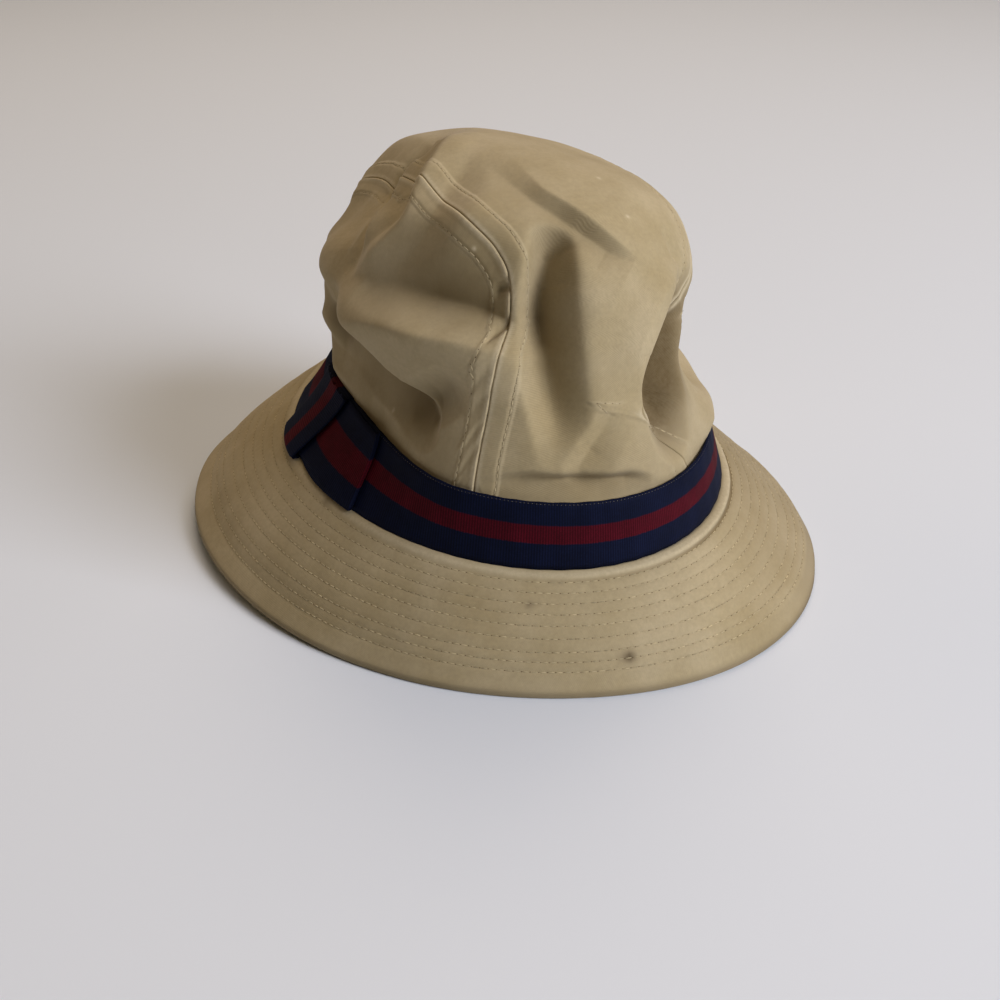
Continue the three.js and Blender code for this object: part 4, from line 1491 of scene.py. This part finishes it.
@dataclass
class RibbonBow:
    """The flat bow: a looped wing each way and a knot wrapped over the middle."""

    at: float = math.radians(170.4)
    half_length: float = 53.0
    start: float = 6.0
    low: float = 0.02
    high: float = 1.03
    seat: float = 2.2
    loop: float = 1.5
    back_seat: float = 1.9
    back_lift: float = 0.45
    wing_columns: int = 10
    wing_pinch: float = 0.03
    wing_slant: float = 2.0
    # The ribbon's share at the lower edge, and how much of its width shows
    wing_stripe: Range = (0.1738, 0.78)
    knot_front: float = 13.5
    knot_back: float = 21.0
    knot_front_flare: float = 10.0
    knot_back_flare: float = 3.0
    knot_columns: int = 24
    knot_length: float = 44.0
    knot_seat: float = 0.9
    knot_rise: float = 1.0
    knot_round: float = 0.5
    knot_waist: float = 0.06
    knot_turn: float = 0.1
    knot_cover: float = 1.02
    knot_stripe: Range = (0.0, 1.0)
    ribbon: float = 0.6
    rib_depth: float = 0.14

    def angle(self, distance: Array) -> Array:
        """Return angles round the hat at distances along the band from the bow's middle."""
        speed = math.hypot(FOOT.half_x * math.sin(self.at), FOOT.front * math.cos(self.at))
        return self.at + distance / speed

    def ribs(self, length: Array) -> Array:
        """Return the height of the cross ribs at distances along the ribbon."""
        return 0.5 * self.rib_depth * np.cos(TURN * length / RIB_PITCH)

    def wing_points(self, way: float) -> Array:
        """Run a wing's ribbon out on the outer layer, round the end and back on the inner layer.

        Args:
            way: 1 for the wing towards the front and -1 for the one towards the back.

        Returns:
            Rows of points along the ribbon, in millimetres.
        """
        reach = self.half_length - self.start
        straight = reach / (2 * reach + math.pi * self.loop / 2)
        side, length = sheet_shares(self.wing_columns, int(2 * reach / RIB_PITCH) * CELLS_PER_RIB)
        out_run = np.clip(length / straight, 0.0, 1.0)
        back_run = np.clip((length - (1.0 - straight)) / straight, 0.0, 1.0)
        turn = np.clip((length - straight) / (1.0 - 2.0 * straight), 0.0, 1.0) * math.pi
        distance = self.start + reach * (out_run - back_run) + 0.5 * self.loop * np.sin(turn)
        swell = np.sin(np.clip((distance - 10.0) / 36.0, 0.0, 1.0) * math.pi * 0.62)
        lift = self.seat + 0.5 * self.loop * (1.0 + np.cos(turn)) * (0.55 + 0.75 * swell)
        if way < 0:
            lift = self.back_seat + (lift - self.back_seat) * self.back_lift
        pinch = self.wing_pinch * (1.0 - smooth_step(distance, 8.0, 30.0))
        share = self.low + pinch + (self.high - self.low - 2.0 * pinch) * side
        slant = self.wing_slant * (side - 0.5) * smooth_step(distance, 30.0, 48.0)
        return ribbon_point(self.angle(way * (distance - slant)), share, lift + self.ribs(length * 2 * reach))

    def knot_points(self) -> Array:
        """Wrap the knot's ribbon from behind the lower edge, up the front and over the upper edge."""
        side, length = sheet_shares(self.knot_columns, int(self.knot_length / RIB_PITCH) * CELLS_PER_RIB)
        front_part = 1.0 - 2.0 * self.knot_turn
        up = (np.clip(length, self.knot_turn, 1.0 - self.knot_turn) - self.knot_turn) / front_part
        share = 0.5 + (up - 0.5) * self.knot_cover
        over = np.clip((np.abs(length - 0.5) - 0.5 * front_part) / self.knot_turn, 0.0, 1.0)
        crown = self.knot_round * np.cos((side - 0.5) * math.pi)
        rise = self.seat + self.loop + self.knot_rise - self.knot_seat + crown
        out = self.knot_seat + rise * np.sqrt(1.0 - over**2) + self.ribs(length * self.knot_length)
        waist = 1.0 - self.knot_waist * np.sin(up * math.pi)
        front = self.knot_front * waist + self.knot_front_flare * (share - 0.5)
        back = self.knot_back * waist + self.knot_back_flare * (share - 0.5)
        return ribbon_point(self.angle(front * side - back * (1.0 - side)), share, out)

    def sheet(
        self, name: str, points: Array, length: float, stripe: Range, is_flipped: bool
    ) -> bpy.types.Object:
        """Make a piece of ribbon.

        Args:
            name: Name of the piece.
            points: Rows of points along the ribbon, in millimetres.
            length: The ribbon's length.
            stripe: The ribbon's share at the first column, and the part of its width that is used.
            is_flipped: Whether the grid faces the wrong way.

        Returns:
            The new object, selected and active.
        """
        piece = grid_sheet(name, points)
        side, along = sheet_shares(points.shape[1] - 1, points.shape[0] - 1)
        set_point_values(piece, "ribbon_share", stripe[0] + stripe[1] * side)
        set_uv(piece, side.ravel() * RIBBON_WIDTH, along.ravel() * length)
        if is_flipped:
            edit_mesh(bpy.ops.mesh.flip_normals)
        thicken(piece, self.ribbon)
        return piece

    def build(self, ribbon: bpy.types.Material) -> list[bpy.types.Object]:
        """Model both looped wings as one piece, and the knot over them.

        Args:
            ribbon: The material.

        Returns:
            The finished wings and the finished knot.
        """
        length = 2 * (self.half_length - self.start)
        halves = [self.sheet("bow_wings", self.wing_points(way), length, self.wing_stripe, way > 0)
                  for way in (1.0, -1.0)]
        clear_selection()
        for half in halves:
            half.select_set(True)
        bpy.context.view_layer.objects.active = halves[0]
        bpy.ops.object.join()
        wings = name_active("bow_wings")
        wings.data.materials.append(ribbon)
        settle(wings, ("band_bow",))
        knot = self.sheet("bow_wrap", self.knot_points(), self.knot_length, self.knot_stripe, True)
        knot.data.materials.append(ribbon)
        settle(knot, ("bow_knot",))
        return [wings, knot]


# Floor, light and camera


@dataclass(frozen=True)
class Lamp:
    """A soft lamp, placed in the camera's own directions: right, away and up, in metres."""

    name: str
    place: tuple[float, float, float]
    size: float
    power: float
    colour: str


@dataclass(frozen=True)
class Studio:
    """A pale floor, soft lamps and the photograph's viewpoint."""

    floor_size: float = 12.0
    floor: PlainFinish = PlainFinish("painted_floor", "#E3EAF3", 0.6)
    yaw: float = math.radians(26.5)
    pitch: float = math.radians(29.97)
    camera_place: tuple[float, float, float] = (-207.2, -417.3, 272.7)
    lens: float = 45.0
    sensor: float = 36.0
    sky: str = "#FFE2C0"
    sky_strength: float = 0.02
    aim: tuple[float, float, float] = (0.0, 0.0, 0.08)
    lamps: tuple[Lamp, ...] = (
        Lamp("window_key", (1.92, -1.15, 1.4), 1.3, 62.0, "#F6F6FF"),
        Lamp("ceiling_bounce", (0.2, -0.2, 2.9), 2.2, 11.0, "#FFF0DC"),
        Lamp("wall_bounce", (0.2, 1.6, 2.16), 1.8, 27.0, "#FFEAD2"),
        Lamp("left_bounce", (-1.8, 0.7, 1.1), 1.4, 4.8, "#FFDDB0"),
    )

    def turned(self, place: tuple[float, float, float]) -> Vector:
        """Return a place given in the camera's directions as a place in the frame."""
        c, s = math.cos(-self.yaw), math.sin(-self.yaw)
        return Vector((place[0] * c - place[1] * s, place[0] * s + place[1] * c, place[2]))

    def add(self, name: str, data: bpy.types.ID, place: Vector) -> bpy.types.Object:
        """Return a new lamp or camera at a place."""
        item = bpy.data.objects.new(name, data)
        item.location = place
        bpy.context.scene.collection.objects.link(item)
        return item

    def build(self) -> None:
        """Set up the floor, the lamps, the sky and the camera."""
        clear_selection()
        bpy.ops.mesh.primitive_plane_add(size=self.floor_size, location=(0, 0, 0))
        floor = bpy.context.object
        floor.name = "studio_floor"
        floor.data.materials.append(self.floor.material())
        for lamp in self.lamps:
            data = bpy.data.lights.new(lamp.name, "AREA")
            data.size, data.energy, data.color = lamp.size, lamp.power, linear(lamp.colour)[:3]
            light = self.add(lamp.name, data, self.turned(lamp.place))
            light.rotation_euler = (Vector(self.aim) - light.location).to_track_quat("-Z", "Y").to_euler()
        scene = bpy.context.scene
        scene.world = bpy.data.worlds.new("studio_sky")
        scene.world.use_nodes = True
        ground = scene.world.node_tree.nodes["Background"]
        ground.inputs["Color"].default_value = linear(self.sky)
        ground.inputs["Strength"].default_value = self.sky_strength
        data = bpy.data.cameras.new("photo_camera")
        data.lens, data.sensor_width = self.lens, self.sensor
        scene.camera = self.add("photo_camera", data, Vector(to_frame(np.array(self.camera_place))))
        scene.camera.rotation_euler = (math.pi / 2 - self.pitch, 0.0, -self.yaw)
        scene.view_settings.view_transform = "Standard"


def main() -> None:
    """Set the stage and build the hat piece by piece; each piece is logged as it is settled."""
    logging.basicConfig(level=logging.INFO, format="%(name)s %(message)s")
    Studio().build()
    cloth, ribbon = TwillCloth().material(), Grosgrain().material()
    thread = SewingThread().material()
    edge_thread = SewingThread("ribbon_edge_thread", "#7A7263").material()
    # Painted shadow in the needle holes
    hole = PlainFinish("needle_hole_shadow", "#6B5A3C", 1.0).material()
    panels = [
        CrownPanel(Panel.CENTRE, columns=204, typical_width=90.0),
        CrownPanel(Panel.LEFT, columns=190, typical_width=105.0, seam=SeamFinish(lap=0.4, dips=STRIP_DIPS)),
        CrownPanel(Panel.RIGHT, columns=140, typical_width=105.0),
    ]
    for panel in panels:
        panel.build(cloth)
    seams = Stitching("crown_topstitching", lines=[line for panel in panels for line in panel.lines])
    seams.build(thread, hole, Slot.CLOTH)
    brim = Brim()
    brim.build(cloth)
    Stitching("brim_stitching", lines=brim.lines).build(thread, hole, Slot.CLOTH)
    band = RibbonBand()
    band.build(ribbon)
    edge = Stitching("band_edge_stitching", pitch=1.4, length=0.4, width=0.22, height=0.14, hole=0.05,
                     lines=band.lines)
    edge.build(edge_thread, hole, Slot.RIBBON)
    RibbonBow().build(ribbon)


if __name__ == "__main__":
    main()
